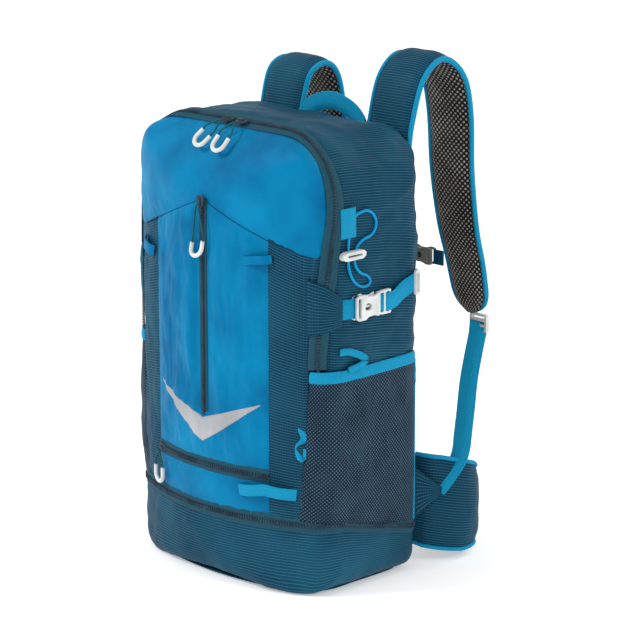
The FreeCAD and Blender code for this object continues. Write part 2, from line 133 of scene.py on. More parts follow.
def studio():
    """A white background, a weaker white sky as ambient light, three soft lamps and a pale floor."""
    world = bpy.data.worlds.new("studio")
    bpy.context.scene.world = world
    world.use_nodes = True
    tree = world.node_tree
    mix = tree.nodes.new("ShaderNodeMixShader")
    tree.links.new(tree.nodes.new("ShaderNodeLightPath").outputs["Is Camera Ray"], mix.inputs[0])
    for light, strength, socket in ((tree.nodes.new("ShaderNodeBackground"), AMBIENT, 1),
                                    (tree.nodes["Background"], 1.0, 2)):
        set_inputs(light, {"Color": (1, 1, 1, 1), "Strength": strength})
        tree.links.new(light.outputs[0], mix.inputs[socket])
    tree.links.new(mix.outputs[0], tree.nodes["World Output"].inputs["Surface"])
    area_light("key", (-1.2, -2.0, 2.3), 40, 0.6)
    area_light("side", (2.6, 0.4, 1.9), 14, 0.6)
    area_light("rim", (0.5, 2.4, 1.8), 12, 1.0)
    mesh = bpy.data.meshes.new("floor")
    corners = [(x * FLOOR_REACH, y * FLOOR_REACH, FLOOR_Z) for x, y in ((-1, -1), (1, -1), (1, 1), (-1, 1))]
    mesh.from_pydata(corners, [], [(0, 1, 2, 3)])
    floor = new_object("floor", mesh)
    paint = bpy.data.materials.new("floor")
    paint.use_nodes = True
    set_inputs(paint.node_tree.nodes["Principled BSDF"],
               {"Base Color": (0.93, 0.93, 0.93, 1), "Roughness": 0.8, "Emission Color": (1, 1, 1, 1),
                "Emission Strength": 0.32})
    floor.data.materials.append(paint)
    bpy.context.scene.view_settings.view_transform = "Standard"


camera()
studio()

# ---------------------------------------------------------------- materials


def linear(value):
    """One sRGB channel, 0 to 255, as linear light."""
    value = value / 255
    return value / 12.92 if value <= 0.04045 else ((value + 0.055) / 1.055) ** 2.4


def rgb(red, green, blue):
    return (linear(red), linear(green), linear(blue), 1)


class Paint:
    """A principled material with small helpers for its nodes."""

    def __init__(self, name, roughness=0.6, sheen=0.0, specular=0.5, coat=0.0):
        self.material = bpy.data.materials.new(name)
        self.material.use_nodes = True
        self.tree = self.material.node_tree
        self.shader = self.tree.nodes["Principled BSDF"]
        set_inputs(self.shader, {"Roughness": roughness, "Sheen Weight": sheen, "Sheen Roughness": 0.4,
                                 "Specular IOR Level": specular, "Coat Weight": coat})

    def node(self, kind, **settings):
        item = self.tree.nodes.new(kind)
        for key, value in settings.items():
            setattr(item, key, value)
        return item

    def link(self, output, target):
        self.tree.links.new(output, target)

    def weave_coordinates(self):
        """Metres along and across the cloth, as the piece's own weave layer gives them."""
        item = self.node("ShaderNodeSeparateXYZ")
        self.link(self.node("ShaderNodeUVMap", uv_map="weave").outputs["UV"], item.inputs[0])
        return item.outputs[0], item.outputs[1]

    def maths(self, operation, first, second=0.0):
        item = self.node("ShaderNodeMath", operation=operation)
        for socket, value in zip(item.inputs, (first, second)):
            if isinstance(value, (int, float)):
                socket.default_value = value
            else:
                self.link(value, socket)
        return item.outputs[0]

    def noise(self, scale, detail):
        item = self.node("ShaderNodeTexNoise")
        set_inputs(item, {"Scale": scale, "Detail": detail})
        self.link(self.node("ShaderNodeTexCoord").outputs["Object"], item.inputs["Vector"])
        return item.outputs["Fac"]

    def ramp(self, factor, stops):
        item = self.node("ShaderNodeValToRGB")
        elements = item.color_ramp.elements
        while len(elements) < len(stops):
            elements.new(0.5)
        for element, (place, colour) in zip(elements, stops):
            element.position = place
            element.color = colour
        self.link(factor, item.inputs["Fac"])
        return item.outputs["Color"]

    def bump(self, height, distance, strength=1.0, after=None):
        item = self.node("ShaderNodeBump")
        set_inputs(item, {"Distance": distance, "Strength": strength})
        self.link(height, item.inputs["Height"])
        if after:
            self.link(after, item.inputs["Normal"])
        return item.outputs["Normal"]

    def finish(self, colour, normal=None, roughness=None):
        self.link(colour, self.shader.inputs["Base Color"])
        if normal:
            self.link(normal, self.shader.inputs["Normal"])
        if roughness:
            self.link(roughness, self.shader.inputs["Roughness"])
        return self.material


def stripes(paint, coordinate, pitch, sharp):
    """Thin raised lines across one coordinate, 0 between them and 1 on them."""
    phase = paint.maths("FRACT", paint.maths("DIVIDE", coordinate, pitch))
    distance = paint.maths("ABSOLUTE", paint.maths("SUBTRACT", phase, 0.5))
    return paint.maths("GREATER_THAN", distance, 0.5 - sharp)


def waves(paint, coordinate, pitch):
    """A soft ripple, -1 to 1, once in each pitch."""
    return paint.maths("SINE", paint.maths("MULTIPLY", coordinate, 2 * math.pi / pitch))


def clouded(paint, scale, colours):
    """Soft patches of a dark, a middle and a light colour."""
    return paint.ramp(paint.noise(scale, 4), list(zip((0.3, 0.52, 0.75), colours)))


def plain_weave(name, colours, roughness, sheen, fine=0.0009):
    """Smooth coated cloth: a fine plain weave under soft colour variation."""
    paint = Paint(name, roughness=roughness, sheen=sheen, specular=0.05)
    along, across = paint.weave_coordinates()
    weave = paint.maths("MULTIPLY", waves(paint, along, fine), waves(paint, across, fine))
    crinkle = paint.bump(paint.noise(90, 5), 0.0006, 0.5)
    return paint.finish(clouded(paint, 14, colours), paint.bump(weave, 0.00008, 0.6, after=crinkle))


RIPSTOP_PITCH = 0.0028


def ripstop(name, colours, line):
    """Ripstop cloth: a fine weave crossed by rows of thicker yarns, with fainter columns."""
    paint = Paint(name, roughness=0.48, specular=0.06)
    along, across = paint.weave_coordinates()
    columns = paint.maths("MULTIPLY", stripes(paint, across, RIPSTOP_PITCH, 0.09), 0.3)
    grid = paint.maths("MAXIMUM", columns, stripes(paint, along, RIPSTOP_PITCH, 0.14))
    mix = paint.node("ShaderNodeMix", data_type="RGBA")
    paint.link(paint.maths("MULTIPLY", grid, 0.45), mix.inputs["Factor"])
    paint.link(clouded(paint, 11, colours), mix.inputs["A"])
    mix.inputs["B"].default_value = line
    crinkle = paint.bump(paint.noise(80, 5), 0.0007, 0.5)
    return paint.finish(mix.outputs["Result"], paint.bump(grid, 0.00018, 0.8, after=crinkle))


def webbing(name, dark, light):
    """Woven tape: ribs across it in a herringbone, with painted highlight on the rib crowns and painted shade
    in the grooves between them.
    """
    paint = Paint(name, specular=0.07)
    along, across = paint.weave_coordinates()
    slant = paint.maths("ABSOLUTE", waves(paint, across, 0.008))
    rib = waves(paint, paint.maths("ADD", along, paint.maths("MULTIPLY", slant, 0.0012)), 0.0014)
    # painted highlight and shade: the colour runs from the dark colour in the rib grooves to the light colour
    # on the rib crowns
    colour = paint.ramp(paint.maths("MULTIPLY_ADD", rib, 0.5), [(0.0, dark), (0.7, light)])
    normal = paint.bump(rib, 0.00025, 0.8)
    return paint.finish(colour, normal)


def spacer_mesh(name, thread, glint, pitch):
    """Knitted mesh: diagonal rows of small dark cells; the raised cells take a paler glint colour, partly the
    threads' own paler tone and partly painted highlight.
    """
    paint = Paint(name, specular=0.2)
    along, across = paint.weave_coordinates()
    rows = paint.maths("MULTIPLY", waves(paint, along, pitch), waves(paint, across, pitch))
    cell = paint.maths("MULTIPLY_ADD", rows, 0.5)
    patchy = paint.maths("ADD", cell, paint.maths("MULTIPLY", paint.noise(35, 4), 0.5))
    # painted highlight: the glint colour goes on the peaks of the raised cells, together with the threads'
    # own paler tone
    colour = paint.ramp(patchy, [(0.42, thread), (0.86, thread), (1.0, glint)])
    normal = paint.bump(cell, 0.0009, 0.9)
    return paint.finish(colour, normal)


def moulded(name, dark, light, roughness=0.38):
    """Moulded plastic: faint mottling, a fine grain and slight unevenness of gloss."""
    paint = Paint(name, roughness=roughness, coat=0.05)
    colour = paint.ramp(paint.noise(60, 3), [(0.35, dark), (0.65, light)])
    rough = paint.maths("MULTIPLY_ADD", paint.noise(220, 2), 0.25)
    normal = paint.bump(paint.noise(900, 2), 0.00005, 0.5)
    return paint.finish(colour, normal, paint.maths("ADD", rough, roughness - 0.12))


BLUE = plain_weave("cloth_blue", (rgb(0, 92, 140), rgb(0, 118, 166), rgb(0, 134, 182)), 0.4, 0.0)
NAVY = ripstop("cloth_navy", (rgb(4, 46, 70), rgb(9, 60, 84), rgb(20, 80, 104)), rgb(60, 120, 142))
# each webbing's two colours are its painted shade in the rib grooves and its painted highlight on the rib
# crowns
WEB_BLUE = webbing("webbing_blue", rgb(0, 112, 160), rgb(30, 170, 214))
# a darker copy of the blue webbing: painted shade for the folded-under layer of the lower webbing
WEB_BLUE_PAINTED_SHADE = webbing("webbing_blue_painted_shade", rgb(0, 84, 130), rgb(0, 116, 168))
WEB_NAVY = webbing("webbing_navy", rgb(6, 52, 78), rgb(20, 88, 118))
TAPE = webbing("zip_tape", rgb(14, 52, 68), rgb(50, 96, 114))
COIL = moulded("zip_coil", rgb(20, 42, 58), rgb(44, 70, 88), 0.45)
# each mesh's second colour is its glint: partly the pale thread tone, partly painted highlight
SIDE_MESH = spacer_mesh("side_mesh", rgb(2, 26, 44), rgb(58, 96, 120), 0.004)
BACK_MESH = spacer_mesh("back_mesh", rgb(20, 20, 21), rgb(160, 152, 144), 0.006)
PALE = moulded("plastic_pale", rgb(205, 207, 206), rgb(226, 228, 226))
GREY = moulded("plastic_grey", rgb(104, 108, 104), rgb(134, 138, 132))
METAL = moulded("slider_metal", rgb(20, 38, 52), rgb(44, 64, 78), 0.3)
CORD_DARK = webbing("cord_dark", rgb(20, 74, 84), rgb(44, 110, 118))
CORD_BLUE = webbing("cord_blue", rgb(0, 104, 164), rgb(20, 160, 214))
LINING = plain_weave("lining", (rgb(26, 32, 38), rgb(36, 44, 52), rgb(48, 58, 66)), 0.7, 0.1)
BOARD = moulded("board", rgb(200, 200, 200), rgb(220, 220, 220), 0.5)
THREAD = webbing("thread", rgb(0, 50, 84), rgb(8, 74, 112))
SILVER = plain_weave("reflective", (rgb(148, 150, 154), rgb(170, 172, 176), rgb(190, 192, 196)), 0.35, 0.0,
                     0.0012)

# ---------------------------------------------------------------- the bag's skin, which every panel lies on

WALLS = ["base_compartment", "base_zip_tape", "back_panel", "top_panel", "side_panel_left",
         "side_panel_right", "main_zip_tape", "upper_front_panel", "front_band_left", "front_band_right",
         "front_pocket_left", "front_pocket_right", "front_zip_tape", "pocket_zip_tape", "lower_front_strip"]
CORE_LOW = np.array([-92.0, -42.0, 62.0])
CORE_HIGH = np.array([92.0, 42.0, 398.0])
CAST_FROM = 300
CAST_REACH = 290
CORE_CLEARANCE = 15
SKIN_CUTS = 41
SKIN_HALF_DEPTH = 92


def tree_of(names):
    points = []
    faces = []
    for name in names:
        mesh = NODES[name].data
        start = len(points)
        points += [vertex.co / MM for vertex in mesh.vertices]
        faces += [[start + index for index in face.vertices] for face in mesh.polygons]
    return BVHTree.FromPolygons(points, faces)


def cast(tree, point):
    """The outer surface's point towards this one, seen from the bag's core, and the way out there."""
    core = np.clip(point, CORE_LOW, CORE_HIGH)
    away = np.array(point) - core
    away = away / max(np.linalg.norm(away), 1e-6)
    start = core + away * CAST_FROM
    for nudge in (0.0, 1.2, -1.2):
        hit = tree.ray_cast(Vector(start + np.array([0, 0, nudge])), Vector(-away), CAST_REACH)
        if hit[0] is not None and (Vector(core) - hit[0]).length > CORE_CLEARANCE:
            return np.array(hit[0]), away
    return np.array(point, dtype=float), away


def neighbours_mean(points, links):
    total = np.zeros_like(points)
    count = np.zeros(len(points))
    for here, there in ((0, 1), (1, 0)):
        np.add.at(total, links[:, here], points[links[:, there]])
        np.add.at(count, links[:, here], 1)
    return total / count[:, None]


def make_skin():
    """A closed, evenly rounded copy of the CAD bag, as a search tree in millimetres."""
    walls = tree_of(WALLS)
    form = bmesh.new()
    bmesh.ops.create_cube(form, size=2.0)
    bmesh.ops.subdivide_edges(form, edges=form.edges[:], cuts=SKIN_CUTS, use_grid_fill=True)
    centre_z = TOP / 2
    for vertex in form.verts:
        target = np.array([vertex.co.x * HALF, vertex.co.y * SKIN_HALF_DEPTH,
                           centre_z + vertex.co.z * centre_z])
        vertex.co = Vector(cast(walls, target)[0])
    form.verts.ensure_lookup_table()
    points = np.array([vertex.co for vertex in form.verts])
    links = np.array([[edge.verts[0].index, edge.verts[1].index] for edge in form.edges])
    for _ in range(5):
        points = points * 0.5 + neighbours_mean(points, links) * 0.5
    faces = [[vertex.index for vertex in face.verts] for face in form.faces]
    form.free()
    mesh = bpy.data.meshes.new("skin")
    mesh.from_pydata([tuple(point) for point in points], [], faces)
    item = new_object("skin", mesh)
    smooth = item.modifiers.new("smooth", "SUBSURF")
    smooth.levels = 2
    smoothed = item.evaluated_get(bpy.context.evaluated_depsgraph_get())
    ready = smoothed.to_mesh()
    tree = BVHTree.FromPolygons([vertex.co.copy() for vertex in ready.vertices],
                                [list(face.vertices) for face in ready.polygons])
    smoothed.to_mesh_clear()
    bpy.data.objects.remove(item)
    return tree


SKIN = make_skin()


def on_skin(point):
    return cast(SKIN, np.array(point, dtype=float))


# ---------------------------------------------------------------- curves and grids


def step_lengths(line):
    return np.linalg.norm(np.diff(line, axis=0), axis=1)


def distances(line):
    return np.concatenate([[0], np.cumsum(step_lengths(line))])


def unit(rows):
    return rows / np.linalg.norm(rows, axis=1, keepdims=True)


def directions(line):
    return unit(np.gradient(line, axis=0))


def mirrored(half, middle=()):
    """Points of the left side, the middle ones, and those of the right side on the way back."""
    return [(-point[0], *point[1:]) for point in half] + list(middle) + half[::-1]


def smooth_line(points, count):
    """A Catmull-Rom line through the points, evenly spaced."""
    points = np.array(points, dtype=float)
    if len(points) == 2:
        steps = np.linspace(0, 1, count)[:, None]
        return points[0] * (1 - steps) + points[1] * steps
    ends = [2 * points[0] - points[1], 2 * points[-1] - points[-2]]
    full = np.vstack([ends[:1], points, ends[1:]])
    fine = []
    for index in range(1, len(full) - 2):
        before, first, last, after = full[index - 1:index + 3]
        for step in np.linspace(0, 1, 24, endpoint=False):
            fine.append(0.5 * (2 * first + (last - before) * step
                               + (2 * before - 5 * first + 4 * last - after) * step ** 2
                               + (3 * first - before - 3 * last + after) * step ** 3))
    fine.append(full[-2])
    return even(np.array(fine), count)


def even(line, count):
    """The same line cut into equal steps."""
    lengths = distances(line)
    where = np.linspace(0, lengths[-1], count)
    return np.stack([np.interp(where, lengths, line[:, axis]) for axis in range(3)], axis=1)


def straight_line(points, count):
    return even(np.array(points, dtype=float), count)


def grid_normals(grid, outward):
    """Unit normals of a grid of points, turned to the side that outward gives."""
    du = np.gradient(grid, axis=0)
    dv = np.gradient(grid, axis=1)
    normals = np.cross(du, dv)
    normals /= np.maximum(np.linalg.norm(normals, axis=2, keepdims=True), 1e-9)
    facing = np.sum(normals * outward, axis=2, keepdims=True)
    return np.where(facing < 0, -normals, normals)


def relax(grid, rounds):
    for _ in range(rounds):
        inner = (grid[:-2, 1:-1] + grid[2:, 1:-1] + grid[1:-1, :-2] + grid[1:-1, 2:]) / 4
        grid[1:-1, 1:-1] = grid[1:-1, 1:-1] * 0.4 + inner * 0.6
    return grid


def grid_faces(rows, columns):
    corners = [row * columns + column for row in range(rows - 1) for column in range(columns - 1)]
    return [(corner, corner + columns, corner + columns + 1, corner + 1) for corner in corners]


def grid_object(name, grid, material, thickness=0.0, turned=False):
    """A mesh of a grid of points in mm. Its weave layer is in metres, turned if the yarns run across."""
    rows, columns = grid.shape[:2]
    mesh = bpy.data.meshes.new(name)
    mesh.from_pydata([tuple(point) for point in (grid.reshape(-1, 3) * MM)], [], grid_faces(rows, columns))
    along = distances(grid[:, columns // 2])
    across = distances(grid[rows // 2])
    layer = mesh.uv_layers.new(name="weave")
    indices = np.zeros(len(mesh.loops), dtype=np.int32)
    mesh.loops.foreach_get("vertex_index", indices)
    weave = np.stack([along[indices // columns] * MM, across[indices % columns] * MM], axis=1)
    if turned:
        weave = weave[:, ::-1]
    layer.data.foreach_set("uv", np.ascontiguousarray(weave, dtype=np.float32).ravel())
    mesh.materials.append(material)
    mesh.shade_smooth()
    item = new_object(name, mesh)
    if thickness:
        thick = item.modifiers.new("thickness", "SOLIDIFY")
        thick.thickness = thickness * MM
        thick.offset = -1
    return item


def circle(count):
    """Angles once round, with the last on the first."""
    return np.linspace(0, 2 * math.pi, count + 1)


def tube(name, line, radius, material, sides=10):
    """A round cord or bar along a line in mm, closed at both ends."""
    along = directions(line)
    guide = np.array([0.13, 0.31, 0.94]) if abs(along[0][2]) < 0.9 else np.array([1.0, 0.1, 0.1])
    rings = []
    for spot, way in zip(line, along):
        guide = guide - way * np.dot(guide, way)
        guide /= np.linalg.norm(guide)
        other = np.cross(way, guide)
        turn = [guide * math.cos(a) + other * math.sin(a) for a in circle(sides)]
        rings.append(spot + np.array(turn) * radius)
    rings = [np.repeat(line[:1], sides + 1, axis=0)] + rings + [np.repeat(line[-1:], sides + 1, axis=0)]
    return grid_object(name, np.array(rings), material)


def attach(item, body, *nodes):
    """Joins a piece to a body and hides the CAD nodes it replaces."""
    if body:
        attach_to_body(item, body)
    if nodes:
        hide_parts(*nodes)
    return item


def wrinkle(points, seed, size, stretch):
    """Soft folds, -1 to 1: noise drawn out along one direction."""
    scale = 1.0 / size
    flat = points.reshape(-1, 3) * np.array(stretch) * scale
    shift = Vector((seed * 13.7, seed * 5.1, seed))
    values = [noise.fractal(Vector(point) + shift, 0.9, 2.0, 3) for point in flat]
    return np.array(values).reshape(points.shape[:2])


def cloth_grid(edges, rows, columns, lift=0.8, puff=0.0, folds=1.0, size=34.0, stretch=(1, 1, 1), seed=1,
               pucker=0.5, straight=False, relief=None):
    """A panel between edge lines, laid on the skin, crowned between its seams and creased."""
    maker = straight_line if straight else smooth_line
    lines = [maker(edge, rows) for edge in edges]
    anchors = np.linspace(0, 1, len(lines))
    steps = np.linspace(0, 1, columns)
    grid = np.zeros((rows, columns, 3))
    away = np.zeros((rows, columns, 3))
    for row in range(rows):
        across = [np.interp(steps, anchors, [line[row, axis] for line in lines]) for axis in range(3)]
        for column, rough in enumerate(zip(*across)):
            grid[row, column], away[row, column] = on_skin(rough)
    grid = relax(grid, 2)
    normals = grid_normals(grid, away)
    u = np.linspace(0, 1, rows)[:, None]
    v = np.linspace(0, 1, columns)[None, :]
    crown = (np.clip(4 * u * (1 - u), 0, 1) * np.clip(4 * v * (1 - v), 0, 1)) ** 0.5
    span_u = step_lengths(grid[:, columns // 2]).sum()
    span_v = step_lengths(grid[rows // 2]).sum()
    near = np.minimum(np.minimum(u, 1 - u) * span_u, np.minimum(v, 1 - v) * span_v)
    seam = np.exp(-(near / 7.0) ** 2)
    height = lift + puff * crown - 0.7 * seam
    height = height + folds * wrinkle(grid, seed, size, stretch) * np.clip(near / 14, 0, 1)
    ripple = wrinkle(grid, seed + 3, 7.0, (1, 1, 1)) * np.exp(-((near - 5) / 7.0) ** 2)
    height = np.maximum(height + pucker * ripple, 0.3)
    if relief:
        height = relief(grid, height)
    return grid + normals * height[:, :, None]


def panel(name, edges, rows, columns, material, nodes, thickness=1.0, **look):
    """A sewn panel that belongs to the bag."""
    grid = cloth_grid(edges, rows, columns, **look)
    attach(grid_object(name, grid, material, thickness), "root", *nodes)
    return grid


# ---------------------------------------------------------------- cloth panels of the bag

CHEVRON_TOP = 402.0
CHEVRON_BAND = 369.0
CHEVRON_SIDE = 354.0
ZIP_LEAN = 14
ZIP_LEAN_TOP = 400
ZIP_LEAN_TALL = 130


def chevron_height(x):
    """How high the chevron seam runs at this distance from the middle of the front."""
    return float(np.interp(abs(x), [0, BAND_X, CORNER_X, HALF],
                           [CHEVRON_TOP, CHEVRON_BAND, CHEVRON_SIDE, 350]))


def base_zip_height(y):
    """The base zip's line drops along the sides, from the front corners to the back."""
    return float(np.interp(y, [-40, 70, BACK], [(BASE_Z + BASE_ZIP_Z) / 2, 50, 48]))


def front_y(x):
    return FRONT + (CORNER_Y - FRONT) * (x / CORNER_X) ** 2


def zip_forward(z):
    """How far the main zip's line has come forward by this height."""
    return ZIP_LEAN * float(np.clip((ZIP_LEAN_TOP - z) / ZIP_LEAN_TALL, 0, 1))


def plan_x(y):
    """The bag's half width at this depth, near its front corners."""
    return float(np.interp(y, [CORNER_Y, -50, -30], [CORNER_X, 134, HALF]))


def zip_point(z, y_shift):
    """A point of the main zip's line on the bag's right side."""
    y = ZIP_Y + y_shift - zip_forward(z)
    return (plan_x(y) + 1, y, z)


def arch(y_shift, low_z=CHEVRON_SIDE):
    """The main zip's line: up one side, over the top and down the other."""
    y = ZIP_Y + y_shift
    right = [zip_point(z, y_shift) for z in (250, 290, 330, 365) if z > low_z]
    right = [zip_point(low_z, y_shift)] + right + [(HALF, y, TOP - 80), (126, y, TOP - 46),
                                                   (100, y, TOP - 19), (60, y, TOP - 2)]
    return mirrored(right, [(0, y, TOP + 3)])


def upper_front():
    """The blue panel between the chevron seam and the main zip."""
    side = zip_point(CHEVRON_SIDE, -3)
    half = [(x, front_y(x), chevron_height(x) - 3) for x in (112, 100, 81, 54, 27)]
    bottom = mirrored([(side[0], side[1], CHEVRON_SIDE - 3)] + half, [(0, front_y(0), CHEVRON_TOP - 3)])
    grid = cloth_grid([bottom, arch(-3)], 150, 70, lift=2.0, puff=2.0, folds=1.3, size=42, seed=3)
    item = grid_object("upper_front_cloth", grid, BLUE, 1.0)
    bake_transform(item)
    attach(item, None, "upper_front_panel")


CHEVRON_NOTCH = 172.0
CHEVRON_TIP = 197.0
CHEVRON_APEX = 147.0
CHEVRON_REACH = 73.0
STITCH_PITCH = 3.2


def grid_tree(grid):
    """A search tree of a panel's own surface, for what is sewn to it."""
    rows, columns = grid.shape[:2]
    return BVHTree.FromPolygons([Vector(point) for point in grid.reshape(-1, 3)], grid_faces(rows, columns))


def front_hit(tree, x, z):
    hit = tree.ray_cast(Vector((x, -200, z)), Vector((0, 1, 0)), 300)
    return np.array(hit[0]) if hit[0] is not None else np.array((x, front_y(x) - 2, z))


def on_front(tree, points, lift):
    """A line laid on a front panel's own surface."""
    return np.array([front_hit(tree, x, z) - (0, lift, 0) for x, _, z in straight_line(points, 120)])


def chevron(tree):
    """The reflective V: two tapering arms that meet in a deep point."""
    top = straight_line(mirrored([(CHEVRON_REACH, 0, CHEVRON_TIP)], [(0, 0, CHEVRON_NOTCH)]), 121)
    lower = [(CHEVRON_REACH, 0, CHEVRON_TIP - 1), (30, 0, 165)]
    bottom = straight_line(mirrored(lower, [(0, 0, CHEVRON_APEX)]), 121)
    grid = np.zeros((121, 14, 3))
    for row in range(121):
        for column, step in enumerate(np.linspace(0, 1, 14)):
            x, _, z = top[row] * (1 - step) + bottom[row] * step
            grid[row, column] = front_hit(tree, x, z) - (0, 0.7, 0)
    attach(grid_object("reflective_v", grid, SILVER, 0.5), "root", "reflective_chevron")


def stitches(name, line, material):
    """A run of thread stitches along a line that lies on the cloth."""
    line = even(line, max(int(step_lengths(line).sum() / STITCH_PITCH), 3))
    along = directions(line)
    blocks = []
    for spot, way in zip(line, along):
        out = np.array(SKIN.find_nearest(Vector(spot))[1])
        side = np.cross(out, way)
        side /= np.linalg.norm(side)
        blocks.append((spot, [way * 1.1, side * 0.28, np.cross(way, side) * 0.25]))
    attach(blocks_object(name, blocks, material), "root")


def pocket_relief(grid, height):
    """The front zip lies in a shallow groove above the chevron's notch."""
    x = grid[:, :, 0]
    z = grid[:, :, 2]
    groove = np.exp(-(x / 13.0) ** 4) * np.clip((z - CHEVRON_NOTCH + 6) / 14, 0, 1)
    return height * (1 - groove) + 0.25 * groove


def front_pocket():
    """Blue cloth from the chevron seam down to the lower zip, crowned either side of the front zip."""
    xs = [-BAND_X - 1, -50, -25, 0, 25, 50, BAND_X + 1]
    edges = [[(x, front_y(x), POCKET_ZIP_HIGH + 1), (x, front_y(x), 240), (x, front_y(x), chevron_height(x))]
             for x in xs]
    tree = grid_tree(panel("front_pocket_cloth", edges, 150, 110, BLUE,
                           ("front_pocket_left", "front_pocket_right"), lift=1.0, puff=4.6, folds=3.4,
                           size=38, stretch=(1.7, 1, 0.6), seed=5, relief=pocket_relief))
    chevron(tree)
    # painted shade: a dark thread-coloured cord along the chevron seam stands in for the seam's shadow line
    seam = [(x, FRONT, chevron_height(x) - 3.4) for x in (-110, -81, 0, 81, 110)]
    attach(tube("chevron_seam_shade_line", on_front(tree, seam, 0.5), 0.8, THREAD), "root")
    for index, run in enumerate(((-78, -40, -8), (8, 40, 78))):
        points = [(x, FRONT, chevron_height(x) - 4) for x in run]
        stitches("chevron_stitches_%d" % index, on_front(tree, points, 0.3), THREAD)
    bottom = [[(x, front_y(x), z) for z in (BASE_ZIP_Z + 1, POCKET_ZIP_LOW - 1)]
              for x in (-82, -40, 0, 40, 82)]
    panel("lower_front_cloth", bottom, 24, 90, BLUE, ("lower_front_strip",), lift=1.0, puff=1.5, size=26,
          seed=11)


def front_bands():
    """Ripstop bands from the base zip up to the chevron seam and round to the main zip."""
    for name, sign, seed in (("right", 1, 14), ("left", -1, 17)):
        edges = [[(x, front_y(x), z) for z in (BASE_ZIP_Z + 1, 220, chevron_height(x))]
                 for x in (BAND_X, 100, 116)]
        edges.append([zip_point(z, -2) for z in (BASE_ZIP_Z + 1, 160, 220, 290, CHEVRON_SIDE)])
        edges = [[(sign * x, y, z) for x, y, z in edge] for edge in edges]
        panel("front_band_cloth_" + name, edges, 130, 44, NAVY, ("front_band_" + name,), lift=1.6, puff=2.0,
              folds=2.0, size=36, stretch=(1, 1, 0.7), seed=seed)


def side_and_back():
    """The ripstop sides, the top and the back panel round the harness."""
    across = [[(x, BACK + 1, z) for z in (46, 240, 402)] for x in (-105, -50, 0, 50, 105)]
    panel("back_cloth", across, 60, 50, NAVY, ("back_panel",), lift=0.5, puff=0.5, folds=0.5, size=50,
          seed=27)
    rows = []
    for y, drop, x in ((ZIP_BACK_Y + 1, 0, HALF + 1), (-10, 0, HALF + 1), (25, 1, HALF + 1),
                       (55, 6, HALF + 1), (78, 16, 130)):
        near = float(np.clip((25 - y) / 60, 0, 1))
        rise = [(x, y - near * zip_forward(z), z)
                for z in (base_zip_height(y) + 4, 140, 230, 270, 320, 360, 401)]
        half = rise + [(min(HALF, x), y, TOP - 64), (120, y, TOP - 36), (80, y, TOP - 8 - drop)]
        rows.append(mirrored(half, [(0, y, TOP + 2 - drop)]))
    half = [(104, BACK + 1, z) for z in (50, 140, 230, 320, 401)] + [(x, 90, 401) for x in (90, 60, 30)]
    rows.append(mirrored(half, [(0, 90, 401)]))
    panel("side_cloth", rows, 420, 84, NAVY, ("top_panel", "side_panel_left", "side_panel_right"), puff=1.8,
          folds=3.6, size=40, stretch=(0.7, 0.7, 1.3), seed=30)


def base():
    """The navy base compartment: a wall round the bag and a flat floor."""
    loop = [(0, BACK), (60, BACK), (112, 86), (134, 70), (HALF, 40), (HALF, 0), (HALF, -36), (124, -58),
            (100, front_y(100)), (60, front_y(60)), (0, FRONT)]
    loop = loop + [(-x, y) for x, y in reversed(loop[1:-1])]
    shares = [1.0, 0.75, 0.5, 0.25, 0.09, 0.01]
    shrink = [1.0, 1.0, 1.0, 0.985, 0.95, 0.9]
    edges = [[(x * k, y * k, base_zip_height(y) * share) for x, y in loop + loop[:1]]
             for share, k in zip(shares, shrink)]
    grid = cloth_grid(edges, 240, 34, lift=0.6, puff=1.8, folds=1.6, size=40, stretch=(1, 1, 1.3), seed=33)
    grid[-1] = grid[0]
    grid[:, :, 2] = np.maximum(grid[:, :, 2], 1.2)
    attach(grid_object("base_cloth", grid, NAVY, 1.0, turned=True), "root", "base_compartment")
    rim = grid[:, -1]
    middle = rim.mean(axis=0)
    middle[2] = 1.2
    floor = np.stack([rim * (1 - step) + middle * step for step in np.linspace(0, 0.999, 14)], axis=1)
    floor[:, :, 2] = np.clip(floor[:, :, 2], 1.2, 1.4)
    attach(grid_object("base_floor_cloth", floor, NAVY, 1.0), "root")


# ---------------------------------------------------------------- zips: tape, coil, sliders and pulls


def frame_along(line, outs):
    """Unit vectors along a line, across it and out from the surface."""
    along = directions(line)
    across = unit(np.cross(outs, along))
    return along, across, np.cross(along, across)


def laid_line(points, step=2.0, straight=False):
    """A line laid on the skin, with the way out at each point."""
    rough = (straight_line if straight else smooth_line)(points, 200)
    length = step_lengths(rough).sum()
    rough = even(rough, max(int(length / step), 6))
    hits = [on_skin(point) for point in rough]
    line = np.array([hit[0] for hit in hits])
    for _ in range(4):
        line[1:-1] = (line[:-2] + line[1:-1] * 2 + line[2:]) / 4
    outs = np.array([SKIN.find_nearest(Vector(point))[1] for point in line])
    facing = np.sum(outs * np.array([hit[1] for hit in hits]), axis=1, keepdims=True)
    outs = np.where(facing < 0, -outs, outs)
    for _ in range(6):
        outs[1:-1] = (outs[:-2] + outs[1:-1] * 2 + outs[2:]) / 4
    return line, outs


def band_grid(line, outs, width, lift, thick, crown=0.0):
    """A flat band with rounded edges round a line: one closed loop of points at each step."""
    _, across, out = frame_along(line, outs)
    half = width / 2
    shape = [(-half, 0.0), (-half, thick * 0.7), (-half + 0.5, thick), (-half * 0.4, thick + crown * 0.8),
             (0, thick + crown), (half * 0.4, thick + crown * 0.8), (half - 0.5, thick), (half, thick * 0.7),
             (half, 0.0), (0, 0.0), (-half, 0.0)]
    rings = [line + across * a + out * (lift + b) for a, b in shape]
    return np.stack(rings, axis=1)


OCTAGON = ((-1, -0.6), (-0.6, -1), (0.6, -1), (1, -0.6), (1, 0.6), (0.6, 1), (-0.6, 1), (-1, 0.6))


